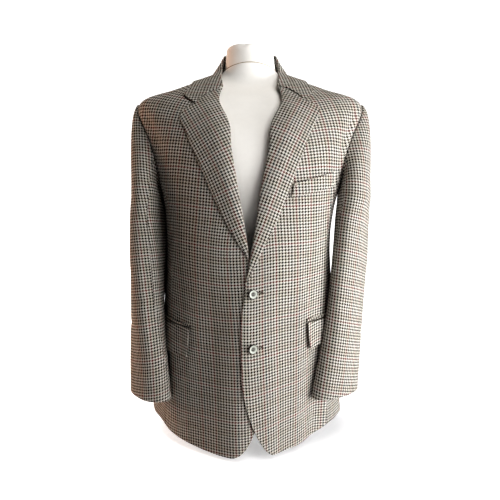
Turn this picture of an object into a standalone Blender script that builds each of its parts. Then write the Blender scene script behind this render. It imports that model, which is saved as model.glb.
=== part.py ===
"""A two-button tweed jacket on a limbless dress form, in metres: +Z up, the front towards -Y, and the
wearer's left towards +X.

Every cut piece is a wall laid on one imagined surface, the outside of the closed jacket. A point of that
surface is named by its turn, the angle from the centre front towards the wearer's left, and its level, the
place in the table of sections, hem 0 to neck 9. A piece is a patch between four edges drawn on it.
"""

import math
from collections import namedtuple

import bpy
import numpy as np
from mathutils import Vector

# Cloth and its seams
CLOTH = 0.0022
SEAM = 0.0004
LIE = 0.0007

# The outside of the closed jacket. A section dips from its side towards the front and the back. Reach is how
# far it stands out from its middle line, drift moves it sideways, corner squares it off, skew squares off
# its left more than its right, and pinch draws in its right side.
Section = namedtuple(
    "Section",
    "name front_z side_z back_z half_width front back middle drift corner skew pinch",
    defaults=(0.0, 0.0),
)
JACKET = (
    Section("hem", 0.007, 0.030, 0.020, 0.234, 0.209, 0.112, 0.040, -0.010, -0.06, -0.04, -0.07),
    Section("seat", 0.160, 0.160, 0.160, 0.212, 0.202, 0.120, 0.034, -0.004, -0.03, -0.01),
    Section("pocket", 0.300, 0.300, 0.300, 0.199, 0.196, 0.108, 0.028, -0.003, 0.00),
    Section("waist", 0.430, 0.430, 0.430, 0.190, 0.186, 0.098, 0.020, -0.002, 0.01),
    Section("rib", 0.515, 0.515, 0.515, 0.194, 0.174, 0.110, 0.015, 0.000, 0.01),
    Section("chest", 0.595, 0.595, 0.595, 0.212, 0.162, 0.122, 0.012, 0.000, 0.01),
    Section("scye", 0.670, 0.675, 0.675, 0.236, 0.146, 0.124, 0.010, 0.000, 0.01),
    Section("shoulder", 0.728, 0.756, 0.750, 0.250, 0.112, 0.112, 0.010, 0.000, 0.02),
    Section("mid", 0.768, 0.791, 0.800, 0.166, 0.082, 0.090, 0.014, 0.000, 0.02),
    Section("neck", 0.802, 0.823, 0.836, 0.078, 0.052, 0.068, 0.020, 0.000, 0.00),
)
SHOULDER, NECK = 7, 9
PINCH_PEAK = 3.5

# The dress form inside it, in the same columns
FORM = (
    Section("base", 0.000, 0.000, 0.000, 0.150, 0.080, 0.085, 0.030, 0.0, 0.00),
    Section("foot", 0.018, 0.018, 0.018, 0.166, 0.104, 0.096, 0.030, 0.0, 0.00),
    Section("thigh", 0.070, 0.070, 0.070, 0.178, 0.142, 0.102, 0.028, 0.0, 0.00),
    Section("hip", 0.160, 0.160, 0.160, 0.184, 0.162, 0.104, 0.026, 0.0, 0.00),
    Section("waist", 0.400, 0.400, 0.400, 0.160, 0.134, 0.078, 0.016, 0.0, 0.00),
    Section("rib", 0.510, 0.510, 0.510, 0.172, 0.142, 0.094, 0.012, 0.0, 0.00),
    Section("chest", 0.600, 0.600, 0.600, 0.188, 0.145, 0.108, 0.010, 0.0, 0.00),
    Section("scye", 0.670, 0.675, 0.675, 0.201, 0.131, 0.110, 0.010, 0.0, 0.01),
    Section("shoulder", 0.7230, 0.7530, 0.7450, 0.2090, 0.1020, 0.1010, 0.010, 0.0, 0.04),
    Section("mid", 0.7630, 0.7876, 0.7957, 0.1610, 0.0765, 0.0845, 0.014, 0.0, 0.02),
    Section("neck base", 0.7965, 0.8125, 0.8240, 0.0850, 0.0500, 0.0610, 0.022, 0.0, 0.00),
    Section("neck", 0.842, 0.832, 0.846, 0.0600, 0.0560, 0.0500, 0.032, 0.0, 0.00),
)
CAP = (
    Section("seam", 0.8424, 0.8324, 0.8464, 0.0597, 0.0557, 0.0497, 0.032, 0.0, 0.00),
    Section("column", 0.860, 0.857, 0.862, 0.0558, 0.0505, 0.0465, 0.034, 0.0, 0.00),
    Section("rim", 0.882, 0.881, 0.882, 0.0535, 0.0470, 0.0440, 0.036, 0.0, 0.00),
    Section("top", 0.888, 0.887, 0.888, 0.0500, 0.0435, 0.0405, 0.036, 0.0, 0.00),
)
FORM_TURNS, FORM_RINGS, CAP_RINGS = 36, 26, 9

# A mark on the front: its height and its distance from the middle towards its own side
Mark = namedtuple("Mark", "height across")
CENTRE_LINE = 0.0055
OVERLAP = 0.0227
LAP_LIFT = 0.0040
CUT_HEIGHT, CUT_WIDTH = 0.1825, 0.0676
CUT_POWER = {"left": 1.6, "right": 2.0}
HEM_FRONT = 0.0075

# The roll is the fold between front and lapel, from the break up to the neck
Lapel = namedtuple("Lapel", "roll edge gorge collar")
LAPELS = {
    "left": Lapel(
        roll=(
            Mark(0.377, -0.0085),
            Mark(0.413, -0.0040),
            Mark(0.469, 0.0060),
            Mark(0.560, 0.0190),
            Mark(0.641, 0.0350),
            Mark(0.712, 0.0475),
            Mark(0.782, 0.0595),
        ),
        edge=(
            Mark(0.377, -0.0085),
            Mark(0.398, 0.0020),
            Mark(0.432, 0.0190),
            Mark(0.485, 0.0460),
            Mark(0.550, 0.0745),
            Mark(0.643, 0.1080),
            Mark(0.700, 0.1340),
            Mark(0.731, 0.1443),
        ),
        gorge=(Mark(0.782, 0.0595), Mark(0.775, 0.0830), Mark(0.751, 0.1117)),
        collar=(Mark(0.7735, 0.1357), Mark(0.7940, 0.1260)),
    ),
    "right": Lapel(
        roll=(
            Mark(0.428, 0.0032),
            Mark(0.447, 0.0030),
            Mark(0.479, 0.0080),
            Mark(0.550, 0.0203),
            Mark(0.641, 0.0356),
            Mark(0.712, 0.0465),
            Mark(0.780, 0.0595),
        ),
        edge=(
            Mark(0.428, 0.0032),
            Mark(0.440, 0.0130),
            Mark(0.478, 0.0370),
            Mark(0.540, 0.0686),
            Mark(0.632, 0.1095),
            Mark(0.690, 0.1350),
            Mark(0.7147, 0.1466),
        ),
        gorge=(Mark(0.780, 0.0595), Mark(0.770, 0.0820), Mark(0.743, 0.1133)),
        collar=(Mark(0.7628, 0.1401), Mark(0.7890, 0.1285)),
    ),
}
ROLL_SPRING = 0.0045

# Seams, by turn in degrees at the hem, the waist and the armhole
Seam = namedtuple("Seam", "hem waist armhole")
FRONT_SEAM = Seam(60.0, 62.0, 69.5)
BACK_SEAM = Seam(108.0, 112.0, 112.0)
VENT_HEIGHT, VENT_FLARE = 0.235, 0.006
ARMHOLE_TOP, ARMHOLE_BOTTOM = 0.756, 0.566
ARMHOLE_FRONT, ARMHOLE_BACK, ARMHOLE_SKEW = 22.0, 24.0, 0.25

# Sleeves: the centre of each section, its half length from front to back, half breadth, how far its front
# edge is turned in, and its squareness, where 2 is an ellipse
SleeveSection = namedtuple("SleeveSection", "z across y long broad turn power")
SLEEVES = {
    "left": (
        SleeveSection(0.550, 0.2370, -0.002, 0.076, 0.0385, 14.0, 2.2),
        SleeveSection(0.500, 0.2345, -0.008, 0.074, 0.0355, 22.0, 2.1),
        SleeveSection(0.400, 0.2270, -0.030, 0.071, 0.0320, 32.0, 2.1),
        SleeveSection(0.300, 0.2155, -0.050, 0.067, 0.0325, 36.0, 2.1),
        SleeveSection(0.210, 0.2020, -0.066, 0.065, 0.0345, 44.0, 2.2),
        SleeveSection(0.115, 0.1870, -0.078, 0.066, 0.0360, 54.0, 2.4),
    ),
    "right": (
        SleeveSection(0.550, 0.2330, -0.002, 0.074, 0.0345, 0.0, 2.2),
        SleeveSection(0.500, 0.2340, -0.008, 0.071, 0.0345, -3.0, 2.2),
        SleeveSection(0.400, 0.2345, -0.024, 0.069, 0.0365, 4.0, 2.3),
        SleeveSection(0.300, 0.2345, -0.040, 0.067, 0.0370, 14.0, 2.2),
        SleeveSection(0.200, 0.2315, -0.052, 0.066, 0.0370, 30.0, 2.2),
        SleeveSection(0.103, 0.2265, -0.060, 0.065, 0.0370, 43.0, 2.1),
    ),
}
SLEEVE_CLEAR, SLEEVE_GAP = 0.0065, 0.0011
CAP_REACH = {"left": 0.085, "right": 0.070}
CAP_DROP = 0.170
CAP_ROWS, ARM_ROWS = 5, 9
UNDER_SLEEVE = (112.0, 262.0)

# The collar's fold line round the neck, for the wearer's left: each point is level with the last or higher
Point = namedtuple("Point", "across y z")
FOLD = (
    Point(0.0640, -0.022, 0.8060),
    Point(0.0670, 0.008, 0.8330),
    Point(0.0660, 0.032, 0.8570),
    Point(0.0590, 0.060, 0.8775),
    Point(0.0350, 0.088, 0.8810),
    Point(0.0000, 0.098, 0.8810),
)
Crossing = namedtuple("Crossing", "turn level")
COLLAR_EDGE = (Crossing(90, 8.56), Crossing(115, 8.48), Crossing(145, 8.44), Crossing(180, 8.42))
STAND_START, STAND_LEVEL = 80.0, 9.02
STAND_IN, STAND_UP = 0.0022, 0.0012
FOLD_GAP = 0.0035
COLLAR_DIP, COLLAR_LIE, GORGE_GAP = 0.0035, 0.0014, 0.0018

# Pockets, as marks for the front top corner, and lengths along the cloth
Flap = namedtuple("Flap", "top deep long")
FLAPS = {
    "left": Flap(Mark(0.286, 0.1180), 0.056, 0.150),
    "right": Flap(Mark(0.2745, 0.1250), 0.063, 0.150),
}
FLAP_LIE, WELT_LIE, FLAP_SWING, FLAP_SLANT = 0.0006, 0.0013, 0.0016, 0.004
JET, JET_GAP = 0.005, 0.0010
LEVEL_RISE = 0.130
WELT_LOW = (Mark(0.5470, 0.0815), Mark(0.5720, 0.1785))
WELT_HIGH = (Mark(0.5765, 0.0880), Mark(0.6035, 0.1785))

# Buttons on the centre line
BUTTON_HEIGHTS = {"upper": 0.3574, "lower": 0.2457}
BUTTON_RADIUS, BUTTON_THICK, BUTTON_RIM, BUTTON_DISH = 0.0094, 0.0034, 0.0022, 0.0011
BUTTON_HOLE, HOLE_SPACING = 0.0010, 0.0017
SHANK_RADIUS, SHANK_HEIGHT = 0.0024, 0.0012

# Grids of the pieces
SEAM_ROWS, ARMHOLE_ROWS = 15, 7
CORNER_ROWS, EDGE_ROWS, ROLL_ROWS, NECK_ROWS = 4, 4, 12, 2
CORNER_COLUMNS, FRONT_COLUMNS = 4, 10
SIDE_COLUMNS, BACK_COLUMNS, NECK_COLUMNS = 5, 8, 3
LAPEL_COLUMNS, GORGE_COLUMNS = 6, 4
COLLAR_ROWS, STAND_COLUMNS = 12, 2
FLAP_ROWS, FLAP_COLUMNS, WELT_COLUMNS = 2, 7, 6

SIDES = {"left": 1, "right": -1}
UPWARD = np.array([0, 0, 1])
NECK_AXIS = np.array([0, 0.03, 0.75])
COLOURS = {
    "tweed": ((0.34, 0.29, 0.23), 0.92),
    "form": ((0.80, 0.75, 0.66), 0.85),
    "horn": ((0.16, 0.16, 0.15), 0.38),
}


# Tables and curves


def along(rows, level):
    """The numbers of a table at each level, on a smooth curve through its rows, without text columns."""
    rows = np.array([[field for field in row if not isinstance(field, str)] for row in rows])
    level = np.clip(np.asarray(level, float), -0.6, len(rows) - 0.4)
    first = np.clip(np.floor(level).astype(int), 0, len(rows) - 2)
    part = (level - first)[..., None]
    ends = np.vstack([2 * rows[0] - rows[1], rows, 2 * rows[-1] - rows[-2]])
    before, start, end, after = (ends[first + step] for step in range(4))
    bend = 2 * before - 5 * start + 4 * end - after
    twist = 3 * (start - end) + after - before
    return start + 0.5 * part * (end - before + part * (bend + part * twist))


def unit(vectors):
    return vectors / np.linalg.norm(vectors, axis=-1, keepdims=True)


def ease(value, start, end):
    """0 before start, 1 past end, smooth between."""
    part = np.clip((value - start) / (end - start), 0, 1)
    return part * part * (3 - 2 * part)


def run_of(points):
    """The length from the first point to each point."""
    steps = np.linalg.norm(np.diff(points, axis=0), axis=1)
    return np.concatenate([[0], np.cumsum(steps)])


def evenly(path, count, to_points=None):
    """count + 1 places spaced evenly by real length on a smooth curve through the path's places."""
    dense = along(path, np.linspace(0, len(path) - 1, 24 * (len(path) - 1) + 1))
    run = run_of(to_points(dense) if to_points else dense)
    wanted = np.linspace(0, run[-1], count + 1)
    return np.stack([np.interp(wanted, run, column) for column in dense.T], axis=-1)


def chain(*paths):
    """Paths that meet end to end, as one."""
    return np.vstack([paths[0]] + [path[1:] for path in paths[1:]])


def patch(bottom, top, start, end):
    """A grid of places between four edges that share their corners."""
    across = np.linspace(0, 1, len(bottom))[None, :, None]
    up = np.linspace(0, 1, len(start))[:, None, None]
    rise = bottom[None] * (1 - up) + top[None] * up
    reach = start[:, None] * (1 - across) + end[:, None] * across
    low = bottom[0] * (1 - across) + bottom[-1] * across
    high = top[0] * (1 - across) + top[-1] * across
    return rise + reach - low * (1 - up) - high * up


# The surface of the jacket


def ring(table, turn, level):
    """Points of a table's surface."""
    turn, level = np.broadcast_arrays(np.asarray(turn, float), np.asarray(level, float))
    fields = np.moveaxis(along(table, level), -1, 0)
    front_z, side_z, back_z, half_width, front, back, middle, drift, corner, skew, pinch = fields
    lead, across = np.cos(turn), np.sin(turn)
    right_side = (1 - across) / 2 * across**4 * np.abs(lead) * PINCH_PEAK
    swell = 1 + (corner + skew * across) * np.sin(2 * turn) ** 2 + pinch * right_side
    reach = np.where(lead > 0, front, back)
    rim_z = np.where(lead > 0, front_z, back_z)
    x = drift + half_width * across * swell
    return np.stack([x, middle - reach * lead * swell, side_z + (rim_z - side_z) * lead**2], -1)


def body(places):
    return ring(JACKET, places[..., 0], places[..., 1])


def slopes(places, step=1e-4):
    """How fast the surface's points move with turn and with level."""
    shift = np.array([[step, 0], [0, step]])
    return [(body(places + one) - body(places - one)) / (2 * step) for one in shift]


def outward(places):
    """The outward normals of the jacket's surface."""
    by_turn, by_level = slopes(places)
    return unit(np.cross(by_turn, by_level))


def lifted(places, height):
    """Points at this height over the jacket's surface."""
    return body(places) + outward(places) * np.asarray(height)[..., None]


def locate(x, z):
    """The places on the front, seen straight on, at these points of X and Z."""
    x, z = np.broadcast_arrays(np.asarray(x, float), np.asarray(z, float))
    heights = [section.front_z for section in JACKET]
    turns, levels = np.arcsin(np.clip(x / 0.25, -0.9, 0.9)), np.interp(z, heights, range(len(heights)))
    places = np.stack([turns, levels], -1)
    for _ in range(40):
        point = body(places)
        by_turn, by_level = slopes(places)
        miss_x, miss_z = x - point[..., 0], z - point[..., 2]
        area = by_turn[..., 0] * by_level[..., 2] - by_level[..., 0] * by_turn[..., 2]
        turn = (miss_x * by_level[..., 2] - miss_z * by_level[..., 0]) / area
        level = (miss_z * by_turn[..., 0] - miss_x * by_turn[..., 2]) / area
        places = places + np.clip(np.stack([turn, level], -1), -0.2, 0.2)
    return places


def marked(side, marks):
    """The places of marks on one side's front."""
    across, height = np.array([mark.across for mark in marks]), np.array([mark.height for mark in marks])
    return locate(SIDES[side] * across, height)


def level_at(side_height):
    """The level whose side is at this height."""
    return np.interp(side_height, [section.side_z for section in JACKET], range(len(JACKET)))


def clear_of_body(points, gap, levels=(0, NECK), turns=(-math.pi, math.pi)):
    """The points, those nearer than the gap to the jacket's surface, or inside it, moved out to the gap."""
    grid = np.meshgrid(np.linspace(*turns, 181), np.linspace(*levels, 121))
    places = np.stack(grid, -1).reshape(-1, 2)
    surface, normals = body(places), outward(places)
    flat = points.reshape(-1, 3)
    nearest = np.array([((surface - point) ** 2).sum(axis=1).argmin() for point in flat])
    height = ((flat - surface[nearest]) * normals[nearest]).sum(axis=1)
    moved = flat + normals[nearest] * np.maximum(gap - height, 0)[:, None]
    return moved.reshape(points.shape)


# Making the objects


def material(name):
    if name in bpy.data.materials:
        return bpy.data.materials[name]
    (red, green, blue), rough = COLOURS[name.split("_")[0]]
    made = bpy.data.materials.new(name)
    made.use_nodes = True
    shader = made.node_tree.nodes["Principled BSDF"]
    shader.inputs["Base Color"].default_value = (red, green, blue, 1)
    shader.inputs["Roughness"].default_value = rough
    shader.inputs["Metallic"].default_value = 0
    return made


def add_object(name, points, faces, finish):
    mesh = bpy.data.meshes.new(name)
    mesh.from_pydata([tuple(point) for point in points], [], faces)
    mesh.materials.append(material(finish + "_" + name))
    mesh.shade_smooth()
    mesh.set_sharp_from_angle(angle=math.radians(40))
    made = bpy.data.objects.new(name, mesh)
    bpy.context.scene.collection.objects.link(made)
    return made


def grid_faces(outer):
    """Triangles over a grid of points, each square split along its shorter diagonal."""
    rows, columns = outer.shape[:2]
    flat = outer.reshape(-1, 3)
    for row in range(rows - 1):
        for column in range(columns - 1):
            corner = row * columns + column
            square = (corner, corner + 1, corner + columns + 1, corner + columns)
            first, second, third, fourth = flat[list(square)]
            if np.linalg.norm(third - first) > np.linalg.norm(fourth - second):
                square = square[1:] + square[:1]
            yield square[0], square[1], square[2]
            yield square[0], square[2], square[3]


def wall(name, outer, inner, finish="tweed"):
    """A closed wall between two grids of points, the inner one behind the outer."""
    rows, columns = outer.shape[:2]
    count = rows * columns
    index = np.arange(count).reshape(rows, columns)
    rim = np.concatenate([index[0], index[1:, -1], index[-1, -2::-1], index[-2:0:-1, 0]])
    skin = list(grid_faces(outer))
    faces = skin + [tuple(count + corner for corner in face[::-1]) for face in skin]
    for here, there in zip(rim, np.roll(rim, -1)):
        faces.append((int(there), int(here), int(here) + count, int(there) + count))
    across, up, out = outer[0, 1] - outer[0, 0], outer[1, 0] - outer[0, 0], outer[0, 0] - inner[0, 0]
    if np.dot(np.cross(across, up), out) < 0:
        faces = [face[::-1] for face in faces]
    return add_object(name, np.vstack([outer.reshape(-1, 3), inner.reshape(-1, 3)]), faces, finish)


def laid(name, places, height):
    """A wall on the jacket's surface: its outside at this height, its thickness below."""
    height = np.broadcast_to(np.asarray(height, float), places.shape[:-1])
    return wall(name, lifted(places, height), lifted(places, height - CLOTH))


# The body of the jacket


def seam_turn(seam, level, armhole_level):
    """The turn of a long seam at each level."""
    levels = (0, 3, armhole_level)
    return np.radians(np.interp(level, levels, (seam.hem, seam.waist, seam.armhole)))


def armhole(angle):
    """Places round the left armhole. The angle is 0 at the shoulder, positive towards the back."""
    angle = np.radians(angle)
    middle, half = (ARMHOLE_TOP + ARMHOLE_BOTTOM) / 2, (ARMHOLE_TOP - ARMHOLE_BOTTOM) / 2
    sweep = np.abs(np.sin(angle)) ** 1.2
    front = -ARMHOLE_FRONT * sweep * (1 - ARMHOLE_SKEW * np.cos(angle))
    back = ARMHOLE_BACK * sweep * (1 + 0.4 * ARMHOLE_SKEW * np.cos(angle))
    turn = 90 + np.where(angle < 0, front, back)
    return np.stack([np.radians(turn), level_at(middle + half * np.cos(angle))], -1)


def armhole_angle(turn, low, high):
    """Where between two angles the armhole crosses this turn, in its lower half."""
    for _ in range(50):
        middle = (low + high) / 2
        if (armhole(middle)[0] < math.radians(turn)) == (armhole(low)[0] < math.radians(turn)):
            low = middle
        else:
            high = middle
    return middle


FRONT_NOTCH = armhole_angle(FRONT_SEAM.armhole, -170, -115)
BACK_NOTCH = armhole_angle(BACK_SEAM.armhole, 170, 115)


def mirrored(places, side):
    return places * np.array([SIDES[side], 1])


def long_seam(seam, notch, drop=0.0):
    """The left side's seam from the hem to the armhole, moved sideways by a share of the seam gap."""
    top = armhole(notch)
    levels = np.linspace(0, top[1], 9)
    path = np.stack([seam_turn(seam, levels, top[1]), levels], -1)
    places = evenly(path, SEAM_ROWS, body)
    return beside(places, drop)


def beside(places, gap):
    """Places moved by this length in the direction of turn."""
    by_turn, _ = slopes(places)
    moved = places.copy()
    moved[..., 0] += gap / np.linalg.norm(by_turn, axis=-1)
    return moved


def armhole_part(start, end, count):
    return evenly(armhole(np.linspace(start, end, 25)), count, body)


def cutaway(side):
    """Marks of the rounded corner, from the straight front edge down to the hem."""
    inner = SIDES[side] * CENTRE_LINE - OVERLAP
    marks = []
    for angle in np.linspace(0, math.pi / 2, 13):
        down = math.sin(angle) ** (2 / CUT_POWER[side])
        across = 1 - math.cos(angle) ** (2 / CUT_POWER[side])
        marks.append(Mark(HEM_FRONT + CUT_HEIGHT * (1 - down), inner + CUT_WIDTH * across))
    return marks


def roll_places(side):
    """The roll line, in the rows that the front and the lapel share."""
    return evenly(marked(side, LAPELS[side].roll), ROLL_ROWS, body)


def front_edge(side):
    """The front's edge from the middle of the rounded corner to the shoulder at the neck."""
    inner = SIDES[side] * CENTRE_LINE - OVERLAP
    corner = marked(side, cutaway(side))
    half = len(corner) // 2
    low = evenly(corner[half::-1], CORNER_ROWS, body)
    roll = roll_places(side)
    straight = marked(side, [Mark(0.24, inner), Mark(0.30, inner)])
    edge = evenly(np.vstack([corner[:1], straight, roll[:1]]), EDGE_ROWS, body)
    neck_point = np.array([[SIDES[side] * math.pi / 2, NECK]])
    neck = evenly(np.vstack([roll[-1:], neck_point]), NECK_ROWS, body)
    return chain(low, edge, roll, neck)


def lap(places):
    """How far the over front stands off, to pass over the under front."""
    point = body(places)
    near = 1 - ease(point[..., 0], 0.040, 0.090)
    low = 1 - ease(point[..., 2], 0.42, 0.54)
    return LAP_LIFT * near * low


def front(side):
    edge = front_edge(side)
    seam = mirrored(long_seam(FRONT_SEAM, FRONT_NOTCH, -SEAM / 2), side)
    scye = mirrored(armhole_part(FRONT_NOTCH, 0, ARMHOLE_ROWS), side)
    scye[0] = seam[-1]
    corner = marked(side, cutaway(side))
    low = evenly(corner[len(corner) // 2 :], CORNER_COLUMNS, body)
    low[-1, 1] = 0
    straight = evenly(np.vstack([low[-1:], seam[:1]]), FRONT_COLUMNS - CORNER_COLUMNS, body)
    shoulder = evenly(np.vstack([edge[-1:], scye[-1:]]), FRONT_COLUMNS, body)
    places = patch(chain(low, straight), shoulder, edge, chain(seam, scye))
    height = lap(places) if side == "left" else 0.0
    return laid("front_" + side, beside_shoulder(places, side, -1), height)


def beside_shoulder(places, side, way):
    """The places, those on the shoulder seam moved by half a seam's gap."""
    near = np.abs(np.abs(places[-1, :, 0]) - math.pi / 2) < 1e-6
    moved = beside(places[-1], SIDES[side] * way * SEAM / 2)
    places[-1][near] = moved[near]
    return places


def side_body(side):
    start = long_seam(FRONT_SEAM, FRONT_NOTCH, SEAM / 2)
    end = long_seam(BACK_SEAM, BACK_NOTCH, -SEAM / 2)
    scye = under_arm()
    scye[0], scye[-1] = start[-1], end[-1]
    hem = evenly(np.vstack([start[:1], end[:1]]), SIDE_COLUMNS, body)
    return laid("side_" + side, mirrored(patch(hem, scye, start, end), side), 0.0)


def under_arm():
    """Places on the armhole from the front seam, under the arm, to the back seam."""
    angles = np.concatenate([np.linspace(FRONT_NOTCH, -180, 9), np.linspace(180, BACK_NOTCH, 9)[1:]])
    return evenly(armhole(angles), SIDE_COLUMNS, body)


def flare(places):
    """How far the back stands off at the vents."""
    point = body(places)
    low = 1 - ease(point[..., 2], 0.05, VENT_HEIGHT)
    near = 1 - ease(np.abs(places[..., 0]), math.radians(BACK_SEAM.hem), math.radians(BACK_SEAM.hem + 30))
    return VENT_FLARE * low * near


def back(side):
    start = long_seam(BACK_SEAM, BACK_NOTCH, SEAM / 2)
    scye = armhole_part(BACK_NOTCH, 0, ARMHOLE_ROWS)
    scye[0] = start[-1]
    spine = np.array([[math.pi, level] for level in range(NECK + 1)], float)
    centre = beside(evenly(spine, SEAM_ROWS + ARMHOLE_ROWS, body), -SEAM / 2)
    hem = evenly(np.vstack([start[:1], centre[:1]]), BACK_COLUMNS, body)
    shoulder = np.array([[math.pi / 2, level] for level in range(SHOULDER, NECK + 1)])
    neckline = np.array([[turn, NECK] for turn in np.linspace(math.pi / 2, centre[-1, 0], 5)])
    top = chain(
        evenly(shoulder, BACK_COLUMNS - NECK_COLUMNS, body), evenly(neckline, NECK_COLUMNS, body)
    )
    top[0] = scye[-1]
    places = mirrored(patch(hem, top, chain(start, scye), centre), side)
    return laid("back_" + side, beside_shoulder(places, side, 1), flare(places))


# Sleeves


def sleeve_ring(section, angles, side):
    """A sleeve's section. The angle runs from the outer side by the front to the inner side and the back."""
    z, across, y, long, broad, turn, power = section
    forward, outer = np.sin(angles), np.cos(angles)
    forward = long * np.sign(forward) * np.abs(forward) ** (2 / power)
    outer = broad * np.sign(outer) * np.abs(outer) ** (2 / power)
    turn = math.radians(turn)
    x = across + outer * math.cos(turn) - forward * math.sin(turn)
    back_and_forth = y - forward * math.cos(turn) - outer * math.sin(turn)
    return np.stack([SIDES[side] * x, back_and_forth, np.full_like(x, z)], -1)


def sleeve_start():
    """Places on the armhole where the sleeve's columns start, from the shoulder by the front."""
    front_part = armhole_part(FRONT_NOTCH, 0, ARMHOLE_ROWS)[::-1]
    return chain(front_part, under_arm(), armhole_part(BACK_NOTCH, 0, ARMHOLE_ROWS))[:-1]


def sleeve_points(side):
    """The outside of a sleeve, row by row from the armhole to the cuff."""
    places = mirrored(sleeve_start(), side)
    sideways, normal = np.array([SIDES[side], 0, 0]), outward(places)
    seam = body(places) + (sideways + normal) * SEAM * 0.85
    sections = SLEEVES[side]
    angles = section_angles(seam)
    start = sleeve_ring(sections[0], angles, side)
    high = np.clip((seam[:, 2] - ARMHOLE_BOTTOM) / (ARMHOLE_TOP - ARMHOLE_BOTTOM), 0, 1)[:, None]
    leave = unit(sideways + 0.7 * normal) * (0.012 + (CAP_REACH[side] - 0.012) * high)
    arrive = np.array([0, 0, -1]) * (0.02 + CAP_DROP * high)
    rows = []
    for part in np.arange(CAP_ROWS) / CAP_ROWS:
        from_seam = seam * (1 + 2 * part) + leave * part
        to_ring = start * (3 - 2 * part) - arrive * (1 - part)
        rows.append(from_seam * (1 - part) ** 2 + to_ring * part**2)
    for values in along(sections, np.linspace(0, len(sections) - 1, ARM_ROWS + 1)):
        rows.append(sleeve_ring(values, angles, side))
    points = np.array(rows)
    points[1:] = clear_of_body(points[1:], SLEEVE_CLEAR)
    return points


def section_angles(seam):
    """The angle round the sleeve's sections for each column, spread evenly by the armhole's length."""
    run = run_of(np.vstack([seam, seam[:1]]))
    return run[:-1] / run[-1] * 2 * math.pi


def closed_normals(points):
    """Outward normals of a tube of rings, each running the same way round."""
    around = np.roll(points, -1, axis=1) - np.roll(points, 1, axis=1)
    down = np.gradient(points, axis=0)
    normals = unit(np.cross(around, down))
    middle = points.mean(axis=1, keepdims=True)
    if ((points - middle) * normals).sum() < 0:
        normals = -normals
    return normals


def sleeve(side):
    points = sleeve_points(side)
    normals = closed_normals(points)
    inner = points - normals * CLOTH
    count = points.shape[1]
    angles = np.degrees(section_angles(points[0]))
    first = int(np.argmin(np.abs(angles - UNDER_SLEEVE[0])))
    last = int(np.argmin(np.abs(angles - UNDER_SLEEVE[1])))
    under = list(range(first, last + 1))
    top = list(range(last, count)) + list(range(first + 1))
    for name, columns in (("sleeve_under_", under), ("sleeve_top_", top)):
        outer_part, inner_part = points[::-1, columns].copy(), inner[::-1, columns].copy()
        for part in (outer_part, inner_part):
            part[:, 0] += unit(part[:, 1] - part[:, 0]) * SLEEVE_GAP / 2
            part[:, -1] += unit(part[:, -2] - part[:, -1]) * SLEEVE_GAP / 2
        wall(name + side, outer_part, inner_part)


# Lapels and collar


def gorge_end(side, outer_place):
    """Places along the gorge seam, and on to the tip of the lapel or of the collar."""
    gorge = evenly(marked(side, LAPELS[side].gorge), GORGE_COLUMNS, body)
    return chain(gorge, evenly(np.vstack([gorge[-1:], outer_place]), LAPEL_COLUMNS - GORGE_COLUMNS, body))


def lapel(side):
    shape = LAPELS[side]
    roll = roll_places(side)
    edge = evenly(marked(side, shape.edge), ROLL_ROWS, body)
    edge[0] = marked(side, [Mark(shape.edge[0].height + 0.004, shape.edge[0].across + 0.005)])[0]
    foot = evenly(np.vstack([roll[:1], edge[:1]]), LAPEL_COLUMNS, body)
    top = gorge_end(side, edge[-1:])
    top[0] = roll[-1]
    places = patch(foot, top, roll, edge)
    width = np.linalg.norm(body(places[:, -1]) - body(places[:, 0]), axis=1)[:, None]
    across = np.linspace(0, 1, LAPEL_COLUMNS + 1)
    fade = 1 - ease(np.linspace(0, 1, ROLL_ROWS + 1), 0.7, 1)[:, None]
    spring = ROLL_SPRING * np.clip(width / 0.06, 0, 1) * np.sin(math.pi * across**0.6) * fade
    over = lap(places) if side == "left" else 0.0
    return laid("lapel_" + side, places, over + LIE + CLOTH + spring)


def collar_edge(side):
    """Places of the collar's outer edge from the tip over the shoulder to the centre back."""
    over = np.array([[math.radians(crossing.turn), crossing.level] for crossing in COLLAR_EDGE])
    return np.vstack([marked(side, LAPELS[side].collar), mirrored(over, side)])


def fold_points(side):
    return np.array([[SIDES[side] * point.across, point.y, point.z] for point in FOLD])


def collar_end(side):
    """Places of the collar's end, along the gorge and on to the collar's tip."""
    return gorge_end(side, marked(side, LAPELS[side].collar[:1]))


def collar_half(side):
    """The outside of half the collar's fall, from the gorge to the centre back."""
    height = COLLAR_LIE + CLOTH
    end = lifted(collar_end(side), height)
    end = end + unit(end - lifted(roll_places(side)[-3:-2], height)) * GORGE_GAP
    edge = lifted(evenly(collar_edge(side), COLLAR_ROWS, body), height)
    fold = evenly(np.vstack([end[:1], fold_points(side)]), COLLAR_ROWS)
    back_end = np.linspace(fold[-1], edge[-1], LAPEL_COLUMNS + 1)
    points = patch(end, back_end, fold, edge)
    across = np.linspace(0, 1, LAPEL_COLUMNS + 1)[None, :, None]
    up = np.linspace(0, 1, COLLAR_ROWS + 1)[:, None, None]
    away = unit(points - NECK_AXIS)
    points = points - away * COLLAR_DIP * np.sin(math.pi * across) * ease(up, 0.1, 0.4)
    return clear_of_body(points, height, levels=(6, NECK))


def collar():
    outer = np.concatenate([collar_half("right"), collar_half("left")[-2::-1]])
    normals = grid_normals(outer)
    normals[0], normals[-1] = outward(collar_end("right")), outward(collar_end("left"))
    return wall("collar_fall", outer, outer - normals * CLOTH)


def grid_normals(points):
    """Normals of an open grid, on the side away from the neck's axis."""
    normals = unit(np.cross(np.gradient(points, axis=1), np.gradient(points, axis=0)))
    away = points - NECK_AXIS
    return normals * np.sign((normals * away).sum(axis=-1, keepdims=True).mean())


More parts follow.
